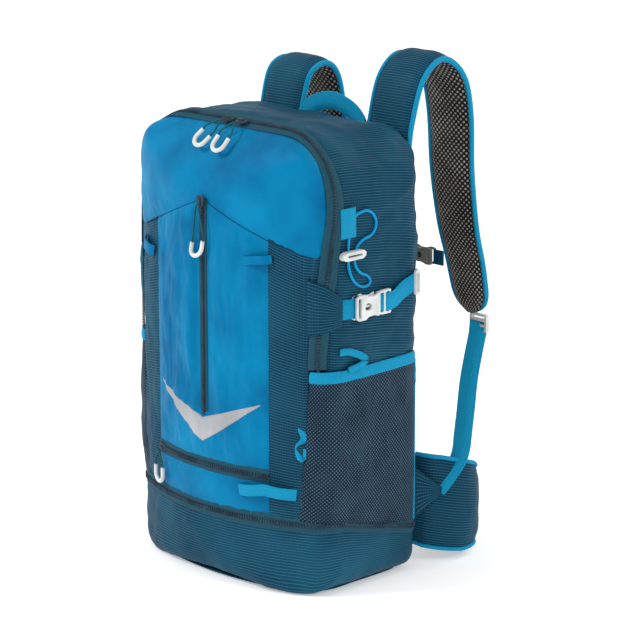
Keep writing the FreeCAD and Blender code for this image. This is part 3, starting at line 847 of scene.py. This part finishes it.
def blocks_object(name, blocks, material):
    """Small rounded blocks as one mesh; each is its middle, three half sides and their lengths."""
    verts = []
    faces = []
    for middle, sides in blocks:
        start = len(verts)
        for c in (-1, 1):
            for a, b in OCTAGON:
                inset = 1.0 if abs(a) < 1 else 0.8
                verts.append(middle + sides[0] * a + sides[1] * b + sides[2] * c * inset)
        faces.append([start + index for index in range(7, -1, -1)])
        faces.append([start + 8 + index for index in range(8)])
        for index in range(8):
            after = (index + 1) % 8
            faces.append([start + index, start + after, start + 8 + after, start + 8 + index])
    mesh = bpy.data.meshes.new(name)
    mesh.from_pydata([tuple(vert * MM) for vert in verts], [], faces)
    mesh.materials.append(material)
    item = new_object(name, mesh)
    return item


COIL_PITCH = 1.5


def zip_line(name, points, width, straight=False, lift=1.0):
    """A zip: two tape halves with a raised stitched edge, and the coil's turns between them."""
    line, outs = laid_line(points, 1.0, straight)
    coarse = slice(None, None, 2)
    tape = grid_object(name + "_tape", band_grid(line[coarse], outs[coarse], width, lift, 1.0, 0.4), TAPE)
    along, across, out = frame_along(line, outs)
    where = np.linspace(0, len(line) - 1, int(step_lengths(line).sum() / COIL_PITCH)).astype(int)
    turns = []
    for index, spot in enumerate(where):
        side = 1 if index % 2 else -1
        middle = line[spot] + out[spot] * (lift + 1.9) + across[spot] * side * 0.9
        sides = [along[spot] * 0.55, across[spot] * 1.7, out[spot] * 0.75]
        turns.append((middle, sides))
    attach(tape, "root", name + "_tape")
    attach(blocks_object(name + "_coil", turns, COIL), "root")


def zips():
    zip_line("main_zip", arch((ZIP_BACK_Y - ZIP_Y) / 2, low_z=HEM_HIGH + 6), 19, lift=2.0)
    zip_line("front_zip", [(0, FRONT, POCKET_ZIP_HIGH + 42), (0, FRONT, CHEVRON_TOP - 3)], 11, straight=True)
    zip_z = middle_of("pocket_zip_tape", 2)
    zip_line("pocket_zip", [(x, front_y(x), zip_z) for x in (-82, -40, 0, 40, 82)], 15)
    half = [(126, 80), (134, 70), (HALF, 50), (HALF, 0), (HALF, -36), (124, -58), (100, front_y(100)),
            (50, front_y(50))]
    zip_line("base_zip", [(x, y, base_zip_height(y)) for x, y in mirrored(half, [(0, FRONT)])], 16)


upper_front()
front_pocket()
front_bands()
side_and_back()
base()
zips()

# ---------------------------------------------------------------- tubes and straps


def strap_sections(route, across=(1, 0, 0), count=160):
    """A strap's middle line through points, and its side and out vectors."""
    line = smooth_line(route, count)
    along = directions(line)
    side = np.tile(np.array(across, dtype=float), (count, 1))
    side = unit(side - along * np.sum(side * along, axis=1, keepdims=True))
    return line, side, np.cross(side, along)


def padded_strap(name, route, widths, thick, body, node, outward, seed, across=(1, 0, 0), tip=0.0):
    """A padded strap: ripstop outside, spacer mesh inside and a bound edge on both sides."""
    line, side, out = strap_sections(route, across)
    out = out * outward
    steps = np.linspace(0, 1, len(line))
    half = np.interp(steps, np.linspace(0, 1, len(widths)), widths)[:, None] / 2
    if tip:
        half = half * np.sqrt(1 - 0.93 * np.clip((steps - 1 + tip) / tip, 0, 1)[:, None] ** 2.5)
    profile = np.linspace(-1, 1, 26)
    swell = (1 - profile ** 4) * thick / 2
    for word, face, material in (("_outer", 1, NAVY), ("_inner", -1, BACK_MESH)):
        grid = np.stack([line + side * half * a * 0.97 + out * face * (0.8 + rise)
                         for a, rise in zip(profile, swell)], axis=1)
        fold = wrinkle(grid, seed + face, 24, (1, 1, 1)) * 0.7
        fold -= 0.5 * np.exp(-((np.abs(profile) - 0.86) / 0.06) ** 2)[None, :]
        grid = grid + (out * face)[:, None, :] * fold[:, :, None] * (1 - profile ** 8)[None, :, None]
        item = grid_object(name + word, grid, material, turned=across[2] == 1)
        attach(item, body, *([node] if face > 0 else []))
    for word, sign in (("near", -1), ("far", 1)):
        edge = line + side * half * sign
        rings = [edge + side * 2.6 * math.cos(a) * sign * 0.9 + out * 3.1 * math.sin(a) for a in circle(12)]
        attach(grid_object(name + "_binding_" + word, np.stack(rings, axis=1), WEB_BLUE), body)


STRAP_STEPS = 80


def flat_strap(name, route, width, thick, material, body, nodes=(), across=(1, 0, 0)):
    """Plain webbing of one width through points."""
    line, side, out = strap_sections(route, across, STRAP_STEPS)
    half = width / 2
    shape = [(-half, -thick / 2), (-half - 0.2, 0), (-half, thick / 2), (0, thick / 2 + 0.1),
             (half, thick / 2), (half + 0.2, 0), (half, -thick / 2), (0, -thick / 2 - 0.1),
             (-half, -thick / 2)]
    grid = np.stack([line + side * a + out * b for a, b in shape], axis=1)
    first, last = (np.repeat(end.mean(axis=1, keepdims=True), len(shape), axis=1)
                   for end in (grid[:1], grid[-1:]))
    item = grid_object(name, np.concatenate([first, grid, last]), material)
    return attach(item, body, *nodes)


RIGHT_ROUTE = [(79, 93, 440), (79, 97, 465), (79, 110, 504), (79, 132, 524), (79, 154, 522), (79, 176, 500),
               (79, 186, 460), (79, 190, 400), (79, 200, 340), (79, 213, 296), (79, 226, 242)]
LEFT_ROUTE = [(-79, 93, 440), (-79, 96, 463), (-79, 106, 494), (-79, 122, 505), (-79, 138, 503),
              (-79, 150, 488), (-79, 158, 455), (-79, 167, 400), (-79, 187, 340), (-79, 213, 296),
              (-79, 226, 242)]
STRAP_WIDTHS = [58, 60, 61, 61, 60, 58, 56, 53, 50, 44]
STRAP_TIP = 0.07
HIP_LOW = low("hip_wing_right", 2)
HIP_HIGH = high("hip_wing_right", 2)


def straps():
    """The two shoulder straps and the two hip wings."""
    for name, route, seed in (("right", RIGHT_ROUTE, 41), ("left", LEFT_ROUTE, 44)):
        padded_strap("strap_" + name, route, STRAP_WIDTHS, 12, "harness", "shoulder_strap_" + name, 1, seed,
                     tip=STRAP_TIP)
    plan = [(110, 96), (129, 106), (141, 125), (144, 146), (136, 166), (114, 181)]
    widths = [HIP_HIGH - HIP_LOW - less for less in (4, 2, 4, 8, 20, 38)]
    for name, sign in (("right", 1), ("left", -1)):
        route = [(sign * x, y, (HIP_LOW + HIP_HIGH) / 2 + 1 - (y - 95) * 0.27) for x, y in plan]
        padded_strap("hip_wing_" + name, route, widths, 11, "hip_" + name, "hip_wing_" + name, -sign, 50,
                     across=(0, 0, 1))


straps()


def back_padding():
    """Two columns of spacer mesh over foam and a lumbar pad, each crowned across."""
    middle_z = HIP_HIGH + 8
    u = np.linspace(0, 1, 120)[:, None]
    v = np.linspace(0, 1, 60)[None, :]
    crown = (1 - np.abs(2 * u - 1) ** 14) * (1 - np.abs(2 * v - 1) ** 8)
    for name, x_low, x_high, z_low, z_high in (("left", -120, -8, middle_z, PAD_HIGH),
                                               ("right", 8, 120, middle_z, PAD_HIGH),
                                               ("lumbar", -85, 85, PAD_LOW, 124)):
        grid = np.zeros((120, 60, 3))
        grid[:, :, 0] = x_low + (x_high - x_low) * v
        grid[:, :, 2] = z_low + (z_high - z_low) * u
        recede = np.clip(np.abs(grid[:, :, 0]) - 106, 0, None) ** 2 * 0.02
        groove = np.exp(-(((u * (6 if z_high > 200 else 1)) % 1 - 0.5) / 0.06) ** 2) * 2.5
        grid[:, :, 1] = BACK + 1 + (PAD_Y - BACK - 1 - groove) * crown - recede
        item = grid_object("back_mesh_" + name, grid, BACK_MESH)
        attach(item, "root", "back_pad")


back_padding()

# ---------------------------------------------------------------- side pockets


def mesh_pocket(name, sign):
    """A stretch mesh pouch that bulges from the side, with a gathered elastic hem."""
    flank = [(HALF + 1, -38), (HALF + 1, 0), (HALF + 1, 40)]
    foot = [(110, -66), (122, -60), (134, -52)] + flank + [(133, 72)]
    brim = [(120, -61), (128, -57), (136, -50)] + flank + [(134, 72)]
    edges = []
    for (x, y), (brim_x, brim_y) in zip(foot, brim):
        bottom = float(np.interp(y, [-66, 66], [81, 56]))
        edges.append([(sign * x, y, bottom), (sign * (x + brim_x) / 2, (y + brim_y) / 2, 150),
                      (sign * brim_x, brim_y, HEM_LOW + 2)])

    def bulge(grid, _):
        u = np.linspace(0, 1, grid.shape[0])[:, None]
        v = np.linspace(0, 1, grid.shape[1])[None, :]
        rise = np.clip(u / 0.3, 0, 1) ** 0.7 * (1 - 0.35 * np.clip((u - 0.7) / 0.3, 0, 1))
        wide = np.clip(4 * v * (1 - v), 0, 1) ** 0.6
        return 2.0 + 6.0 * rise * wide + wrinkle(grid, 70, 26, (1, 1, 0.5)) * 2.6 * wide * rise

    grid = panel("mesh_pocket_cloth_" + name, edges, 90, 100, SIDE_MESH, ("mesh_pockets",), 0.6, relief=bulge,
                 straight=True, seed=70)
    rim = grid[-1]
    inward = unit(rim - grid[-4])
    out = np.cross(directions(rim), inward) * sign
    rings = [rim + inward * (2.6 + 6.2 * math.cos(angle)) + out * (1.5 * math.sin(angle))
             for angle in circle(14)]
    attach(grid_object("mesh_hem_" + name, np.stack(rings, axis=1), WEB_BLUE), "root", "mesh_pocket_hems")
    edge = even(grid[:, -1], 70) + (sign * 0.5, 0, 0)
    attach(tube("mesh_piping_" + name, edge, 1.7, WEB_BLUE), "root")


SIDES = (("right", 1), ("left", -1))
for side_name, side_sign in SIDES:
    mesh_pocket(side_name, side_sign)

# ---------------------------------------------------------------- moulded plates, buckles and webbing


def plate(name, outline, start, end, material, body, nodes=(), holes=(), bevel=0.8, plane="x"):
    """A moulded plate: an outline in a plane, with holes, given a thickness and rounded edges."""
    form = bmesh.new()
    edges = []
    for loop in [outline, *holes]:
        spots = [(start, a, b) if plane == "x" else (a, start, b) for a, b in loop]
        verts = [form.verts.new(Vector(spot) * MM) for spot in spots]
        edges += [form.edges.new((verts[index - 1], verts[index])) for index in range(len(verts))]
    filled = bmesh.ops.triangle_fill(form, edges=edges, use_beauty=True, use_dissolve=False)
    faces = [face for face in filled["geom"] if isinstance(face, bmesh.types.BMFace)]
    raised = bmesh.ops.extrude_face_region(form, geom=faces)
    rise = (end - start) * MM
    top = [item for item in raised["geom"] if isinstance(item, bmesh.types.BMVert)]
    bmesh.ops.translate(form, verts=top, vec=(rise, 0, 0) if plane == "x" else (0, rise, 0))
    bmesh.ops.recalc_face_normals(form, faces=form.faces[:])
    mesh = bpy.data.meshes.new(name)
    form.to_mesh(mesh)
    form.free()
    mesh.materials.append(material)
    mesh.shade_smooth()
    item = new_object(name, mesh)
    soft = item.modifiers.new("edges", "BEVEL")
    soft.width = bevel * MM
    soft.segments = 3
    soft.limit_method = "ANGLE"
    item.modifiers.new("shade", "WEIGHTED_NORMAL").keep_sharp = True
    return attach(item, body, *nodes)


def rectangle(a_low, a_high, b_low, b_high, cut_by):
    """A rectangle's outline with cut corners."""
    return [(a_low + cut_by, b_low), (a_high - cut_by, b_low), (a_high, b_low + cut_by),
            (a_high, b_high - cut_by), (a_high - cut_by, b_high), (a_low + cut_by, b_high),
            (a_low, b_high - cut_by), (a_low, b_low + cut_by)]


UPRIGHT = (0, 0, 1)
REAR_WEB_END = 64


def side_buckle(name, sign):
    """The compression strap's side-release buckle, its webbing and its tri-glide."""
    mid = BUCKLE_Z
    x = sign * low("buckle_socket_right", 0)
    start = low("buckle_socket_right", 1)

    def placed(outline):
        return [(start + a, mid + b) for a, b in outline]

    def layer(title, outline, near, far, body="root", nodes=(), **rest):
        plate(title + name, outline, x + sign * near, x + sign * far, PALE, body, nodes, **rest)

    half_socket = [(0.5, 11), (4.5, 13), (13.5, 13), (17.5, 10.5), (25.5, 10), (32.5, 12), (33.5, 6),
                   (30.5, 0)]
    socket = placed([(a, -b) for a, b in half_socket] + half_socket[-2::-1])
    slot_hole = placed(rectangle(3, 7, -10, 10, 1))
    window = placed(rectangle(12.5, 21.5, -3.5, 3.5, 2))
    layer("socket_lower_", socket, 0, 3.2, nodes=("buckle_socket_" + name,), holes=(slot_hole,))
    layer("socket_upper_", socket, 7.8, 10.8, holes=(slot_hole, window))
    for word, b in (("low", -11.6), ("high", 8.6)):
        layer("socket_wall_%s_" % word, placed(rectangle(10.5, 15.5, b, b + 3, 0.4)), 3, 8, bevel=0.3)
    half_plug = [(52.8, 0), (53, 11), (52, 12.5), (41.5, 12.5), (34.1, 11.5), (33.9, 9), (19.5, 9),
                 (10.5, 7.6), (9.9, 5.8), (19.5, 5.8), (31.5, 5), (31.5, 1.3), (13.5, 1.3), (13.2, 0)]
    stem = placed(half_plug[1:-1] + [(a, -b) for a, b in half_plug[-2:0:-1]])
    holes = [placed(rectangle(a, b, -10, 10, 1)) for a, b in ((37.5, 42.9), (45.5, 50.5))]
    layer("plug_body_", stem, 3.6, 7.4, "plug_" + name, ("buckle_plug_" + name,), holes=holes, bevel=0.5)
    front = [(x + sign * out, start + y, mid) for out, y in ((0.6, -16), (2.8, -9), (5.2, 0), (5.4, 5))]
    flat_strap("front_web_cloth_" + name, front, 20, 1.7, WEB_BLUE, "root", ("front_webbings",), UPRIGHT)
    end = high("buckle_plug_right", 1)
    glide_z = middle_of("tri_glides", 2)
    rear = [(x + sign * out, end + y, mid + z) for out, y, z in
            ((5.4, -17, 0), (5.6, -10, 0), (8.4, -6, 0), (8.2, -1, 0.5), (7.4, 6, 2), (5, 18, 7))]
    rear += [(x + sign * 4, REAR_WEB_END, glide_z), (x + sign * 2, 70, glide_z + 1),
             (sign * (HALF - 4), 78, glide_z + 2)]
    item = flat_strap("rear_web_cloth_" + name, rear, 18, 1.6, WEB_BLUE, None, ("rear_webbing_" + name,),
                      UPRIGHT)
    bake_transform(item)
    bars = [rectangle(y, y + 1.4, glide_z - 10, glide_z + 10, 0.4) for y in (65.4, 68.2)]
    layer("glide_", rectangle(64, 71, glide_z - 13, glide_z + 13, 1.5), 4.6, 7.4, nodes=("tri_glides",),
          holes=bars, bevel=0.4)


def compression_wing(name, sign, seed):
    """A ripstop trapezoid sewn to the front band; its narrow end holds the webbing."""
    edges = [[(sign * x, y, BUCKLE_Z - below), (sign * x, y, BUCKLE_Z + above)]
             for x, y, below, above in ((119, -62, 24, 33), (132, -53, 21, 26), (HALF + 2, -38, 15, 12))]
    panel("wing_cloth_" + name, edges, 34, 40, NAVY, ("compression_wings",), 1.6, lift=4.6, puff=1.2,
          folds=0.8, size=18, seed=seed, straight=True)


BUNGEE_ROUTE = [(-0.020, 0.391), (-0.007, 0.396), (0.006, 0.391), (0.012, 0.379), (0.005, 0.368),
                (-0.009, 0.366), (-0.019, 0.358), (-0.021, 0.343), (-0.013, 0.332), (-0.001, 0.328),
                (0.004, 0.320), (-0.006, 0.316), (-0.018, 0.321), (-0.027, 0.333), (-0.030, 0.350),
                (-0.028, 0.370)]
CORD_OUT = 0.0034
BUNGEE_THICK = 0.003


def cord_curve(name, points, diameter, material):
    """A round cord along a smooth spline with these control points, in metres."""
    data = bpy.data.curves.new(name, "CURVE")
    data.dimensions = "3D"
    data.bevel_depth = diameter / 2
    data.bevel_resolution = 4
    data.resolution_u = 16
    spline = data.splines.new("NURBS")
    spline.points.add(len(points) - 1)
    for point, place in zip(spline.points, points):
        point.co = (*place, 1)
    spline.order_u = 3
    spline.use_endpoint_u = True
    data.materials.append(material)
    return new_object(name, data)


def pole_holder(name, sign):
    """The tab, the elastic cord that goes round the pole's ring and through the lock, and the lock."""
    tab = [[(sign * (HALF + 1), y, 400), (sign * (HALF + 1), y, 370)] for y in (-39, -29, -19)]
    panel("pole_tab_cloth_" + name, tab, 20, 16, WEB_BLUE, ("pole_tabs",), 1.6, lift=5.4, puff=0.6, folds=0.0,
          seed=80, straight=True, pucker=0.0)
    x = sign * (HALF * MM + CORD_OUT)
    cord = cord_curve("pole_cord_" + name, [(x, y, z) for y, z in BUNGEE_ROUTE], BUNGEE_THICK, CORD_BLUE)
    attach(cord, "root", "pole_bungee_" + name)
    lock = "cord_lock_" + name
    z = middle_of(lock, 2)
    outline = [(y, z + rise) for y, rise in
               ((-41, -1), (-39, -3.6), (-35, -4.4), (-14, -4.2), (-10, -2), (-9, 1.5), (-12, 4.2),
                (-35, 4.4), (-40, 2.5))]
    slot = rectangle(-35, -14, z - 1.1, z + 1.1, 0.8)
    body = plate(lock + "_body", outline, sign * (HALF + 2.2), sign * (HALF + 9.6), PALE, lock, (lock,),
                 holes=(slot,), bevel=1.2)


for side_name, side_sign in SIDES:
    side_buckle(side_name, side_sign)
    compression_wing(side_name, side_sign, 90)
    pole_holder(side_name, side_sign)

# ---------------------------------------------------------------- sliders and their pulls


PULL_REACH = 8.0


def pull(name, top, middle, across, down, out, tall=9.0):
    """A doubled cord from the slider's bridge and the moulded U it holds, hanging the way down says."""
    top, middle, across, down, out = (np.array(way, dtype=float) for way in (top, middle, across, down, out))
    points = []
    for angle in np.linspace(0, math.pi, 13):
        bend = PULL_REACH * math.sin(angle)
        points.append(middle + across * PULL_REACH * math.cos(angle) + down * (tall * 0.45 + bend))
    first, last = points[0] - down * tall * 0.9, points[-1] - down * tall * 0.9
    points = [first, points[0] - down * tall * 0.45] + points + [points[-1] - down * tall * 0.45, last]
    attach(tube(name + "_u", smooth_line(points, 80), 2.2, PALE, 14), name, name)
    for word, end, side in (("a", first, 1), ("b", last, -1)):
        route = [top + across * side, top + down * 3 + across * side * 2.2 + out, end - down * 6 + out * 0.5,
                 end + down]
        attach(tube("%s_cord_%s" % (name, word), smooth_line(route, 40), 0.95, CORD_DARK, 8), name)


def slider(name, spot, across, down, out):
    """A zip slider: a waisted body on the coil and a bridge that holds the pull's cord."""
    spot, across, down, out = (np.array(item, dtype=float) for item in (spot, across, down, out))
    blocks = [(spot, [down * 6.0, across * 4.2, out * 1.4]),
              (spot - down * 2.5, [down * 3.4, across * 5.0, out * 1.2]),
              (spot + out * 2.2, [down * 4.2, across * 1.4, out * 1.2])]
    item = blocks_object(name + "_body", blocks, METAL)
    soft = item.modifiers.new("edges", "BEVEL")
    soft.width = 0.4 * MM
    soft.segments = 2
    attach(item, name, name)


POCKET_ZIP_TURN = -16.4


def all_sliders():
    z = middle_of("front_slider", 2)
    slider("front_slider", (0, FRONT - 4.2, z), (1, 0, 0), (0, 0, -1), (0, -1, 0))
    pull("front_pull", (0, FRONT - 7.6, z - 4), (-1.5, FRONT - 8.2, 352), (0.97, 0, 0.2), (-0.2, 0, -0.97),
         (0, -1, 0), tall=8)
    for word, x, lean in (("left", -6, -0.42), ("right", 14, -0.1)):
        part = "lid_slider_" + word
        slider(part, (x, middle_of(part, 1) + 2, high(part, 2) + 0.5), (0, 1, 0), (1, 0, 0), (0, -0.2, 1))
        down = np.array((lean, -0.62, -0.74))
        down /= np.linalg.norm(down)
        across = np.cross(down, (0, -0.77, 0.64))
        across /= np.linalg.norm(across)
        out = np.cross(across, down)
        start = np.array((x, -62, high(part, 2) + 1))
        pull("lid_pull_" + word, start, start + down * 23 + out * 1.5, across, down, out)
    angle = math.radians(POCKET_ZIP_TURN)
    out = np.array((math.sin(angle), -math.cos(angle), 0))
    across = (math.cos(angle), math.sin(angle), 0)
    spot = np.array([middle_of("pocket_slider", axis) for axis in range(3)])
    slider("pocket_slider", spot, (0, 0, 1), across, out)
    start = spot - (0, 0, 3) + out * 4
    pull("pocket_pull", start, start - (0, 0, 21) + out * 0.5, across, (0, 0, -1), out)


all_sliders()

# ---------------------------------------------------------------- handle, lower webbing and front loops


def haul_handle():
    route = mirrored([(43, 90, 446), (40, 91, 458), (25, 91.5, 470)], [(0, 91.5, 476)])
    line, side, out = strap_sections(route, (0, 1, 0), 90)
    shape = [(-1.2, -9), (-1.6, 0), (-1.2, 9), (0, 9.6), (1.2, 9), (1.6, 0), (1.2, -9), (0, -9.6), (-1.2, -9)]
    grid = np.stack([line + side * a + out * b for a, b in shape], axis=1)
    attach(grid_object("haul_handle_webbing", grid, WEB_BLUE), "handle", "haul_handle")


LADDER_LOCK_X = 88


def lower_webbing(name, sign):
    """The strap's lower webbing: from the ladder lock to the hip, folded where it turns back."""
    route = [(88, 225, 232), (91, 220, 220), (97, 207, 200), (107, 189, 176), (121, 169, 149),
             (133, 152, 130), (141, 141, 118), (145, 131, 108), (143, 118, 94), (138, 107, 80)]
    across = (sign * 0.72, 0.55, 0.15)
    upper = [(sign * x, y, z) for x, y, z in route]
    under = [(sign * (x - 3), y + 4, z) for x, y, z in route[:7]]
    # the folded-under layer takes the darker copy of the blue webbing as painted shade
    for word, points, thick, material, nodes in (("cloth_", upper, 1.7, WEB_BLUE, ("lower_webbings",)),
                                                 ("under_", under, 1.5, WEB_BLUE_PAINTED_SHADE, ())):
        item = flat_strap("lower_web_" + word + name, points, 19, thick, material, None, nodes, across)
        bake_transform(item)
    corners = [((130, 76, 112), (131, 78, 84), (132, 82, 54)), ((137, 92, 98), (139, 95, 82), (138, 94, 66)),
               ((144, 108, 84), (144, 108, 80), (144, 108, 76))]
    lines = np.array([smooth_line([(sign * x, y, z) for x, y, z in edge], 12) for edge in corners])
    grid = np.array([smooth_line(lines[:, row], 14) for row in range(12)])
    item = attach(grid_object("stabiliser_" + name, grid, NAVY, 1.6), None)
    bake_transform(item)
    middle = sign * LADDER_LOCK_X
    holes = [rectangle(middle - 9, middle + 9, *span, 0.5)
             for span in ((222.5, 226), (229, 232), (235, 237.5))]
    plate("ladder_lock_body_" + name, rectangle(middle - 12, middle + 12, 220, 240, 2), 223.5, 228.5, PALE,
          "harness", ("ladder_locks",), holes, 0.6, "y")


def raised_loop(name, plan, width, rise, material):
    """A short loop of webbing that stands off the front's cloth between its two sewn ends."""
    line, outs = laid_line([(x, front_y(abs(x)), z) for x, z in plan], 1.5, True)
    lift = np.clip(np.sin(np.linspace(0, math.pi, len(line))) * 1.4, 0, 1)[:, None] * rise
    attach(grid_object(name, band_grid(line + outs * lift, outs, width, 4.0, 1.6), material), "root")


def front_loops():
    raised_loop("gear_loop", [(50, 105), (80, 111), (108, 108)], 12, 6, WEB_BLUE)
    raised_loop("tool_loop_left", [(-106, 336), (-97, 333), (-88, 330)], 12, 3, BLUE)
    raised_loop("tool_loop_right", [(56, 344), (68, 346), (84, 348)], 9, 3, BLUE)
    twist = [(121, -63, 190), (114, -68, 180), (119, -69, 168), (112, -70, 158), (114, -70, 148),
             (120, -68, 147), (121, -67, 157)]
    flat_strap("edge_loop", twist, 6, 1.4, WEB_BLUE, "root", (), (0.8, 0.6, 0.3))
    loop = [(HALF + out, y, z) for out, y, z in
            ((5, -42, 256), (7, -30, 255), (9, -14, 248), (9, -10, 243), (8, -16, 239), (7, -32, 236))]
    flat_strap("hem_loop_right", loop, 7, 1.5, WEB_BLUE, "root", (), (0.1, 0.2, 1))


def sternum_buckle():
    """The small side-release buckle between the shoulder straps."""
    mid = middle_of("sternum_socket", 2)
    face = low("sternum_socket", 1)
    back = high("sternum_socket", 1)
    corners = [(33, -9), (34, -8), (34, 8), (33, 9), (27, 9.5), (20, 7.5), (12, 7.5), (8, 9.5), (8, -9.5),
               (12, -7.5), (20, -7.5), (27, -9.5)]
    socket = [(x, mid + z) for x, z in corners]
    slot = rectangle(28.5, 31.5, mid - 7, mid + 7, 0.6)
    window = rectangle(13, 20, mid - 3, mid + 3, 1.2)
    plate("sternum_front", socket, face, face + 2.4, GREY, "harness", ("sternum_socket",), (slot, window),
          0.5, "y")
    plate("sternum_rear", socket, back - 2.4, back, GREY, "harness", (), (slot,), 0.5, "y")
    corners = [(7.6, -9), (7.6, -7.6), (23, -6.6), (23, -4), (7.6, -4), (7.6, 4), (23, 4), (23, 6.6),
               (7.6, 7.6), (7.6, 9), (-11.6, 9), (-11.6, -9)]
    slots = [rectangle(x, x + 3, mid - 7, mid + 7, 0.6) for x in (-9.5, -4)]
    plate("sternum_plug_body", [(x, mid + z) for x, z in corners], 210, 213, GREY, "sternum_plug",
          ("sternum_plug",), slots, 0.4, "y")
    y = middle_of("sternum_webbing_left", 1)
    route = [(-9, y, mid), (-22, y - 0.6, mid), (-36, y - 0.4, mid), (-50, y, mid)]
    item = flat_strap("sternum_web_left", route, 16, 1.6, WEB_NAVY, None, ("sternum_webbing_left",), UPRIGHT)
    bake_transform(item)


def hip_buckle(name, sign):
    """One half of the hip belt's side-release buckle: the socket on the left, the plug on the right."""
    node = "hip_buckle_" + name
    near, far = (low(node, 0), high(node, 0))[::sign]
    face, back = low(node, 1), high(node, 1)
    half = (high(node, 2) - low(node, 2)) / 2

    def placed(outline):
        return [(near + (far - near) * a, middle_of(node, 2) + half * b) for a, b in outline]

    slot = placed([(0.84, -0.75), (0.92, -0.75), (0.92, 0.75), (0.84, 0.75)])
    if name == "left":
        outline = placed([(0, -0.72), (0.35, -0.74), (0.6, -0.98), (0.97, -1), (1, -0.9), (1, 0.9), (0.97, 1),
                          (0.6, 0.98), (0.35, 0.74), (0, 0.72)])
        window = placed([(0.2, -0.3), (0.5, -0.36), (0.5, 0.36), (0.2, 0.3)])
        plate("hip_socket_front", outline, face, face + 3.2, GREY, "hip_left", (node,), (slot,), 0.7, "y")
        plate("hip_socket_back", outline, back - 3.2, back, GREY, "hip_left", (), (slot, window), 0.7, "y")
        return
    outline = placed([(0, -0.62), (0.45, -0.5), (0.45, -0.16), (0.12, -0.12), (0.12, 0.12), (0.45, 0.16),
                      (0.45, 0.5), (0, 0.62), (0.06, 0.8), (0.5, 0.84), (0.6, 1), (1, 1), (1, -1), (0.6, -1),
                      (0.5, -0.84), (0.06, -0.8)])
    plate("hip_plug", outline, face + 3, back - 3, GREY, "hip_right", (node,), (slot,), 0.5, "y")


haul_handle()
sternum_buckle()
for side_name, side_sign in SIDES:
    lower_webbing(side_name, side_sign)
    hip_buckle(side_name, side_sign)
front_loops()

# ---------------------------------------------------------------- remaining CAD pieces keep their shapes

CAD_LOOKS = {"sternum_webbing": WEB_NAVY, "hip_webbing": WEB_NAVY, "inner": LINING, "hydration": LINING,
             "divider": LINING, "frame_sheet": BOARD}
for name, part in NODES.items():
    for key, material in CAD_LOOKS.items():
        if key in name:
            part.data.materials.clear()
            part.data.materials.append(material)
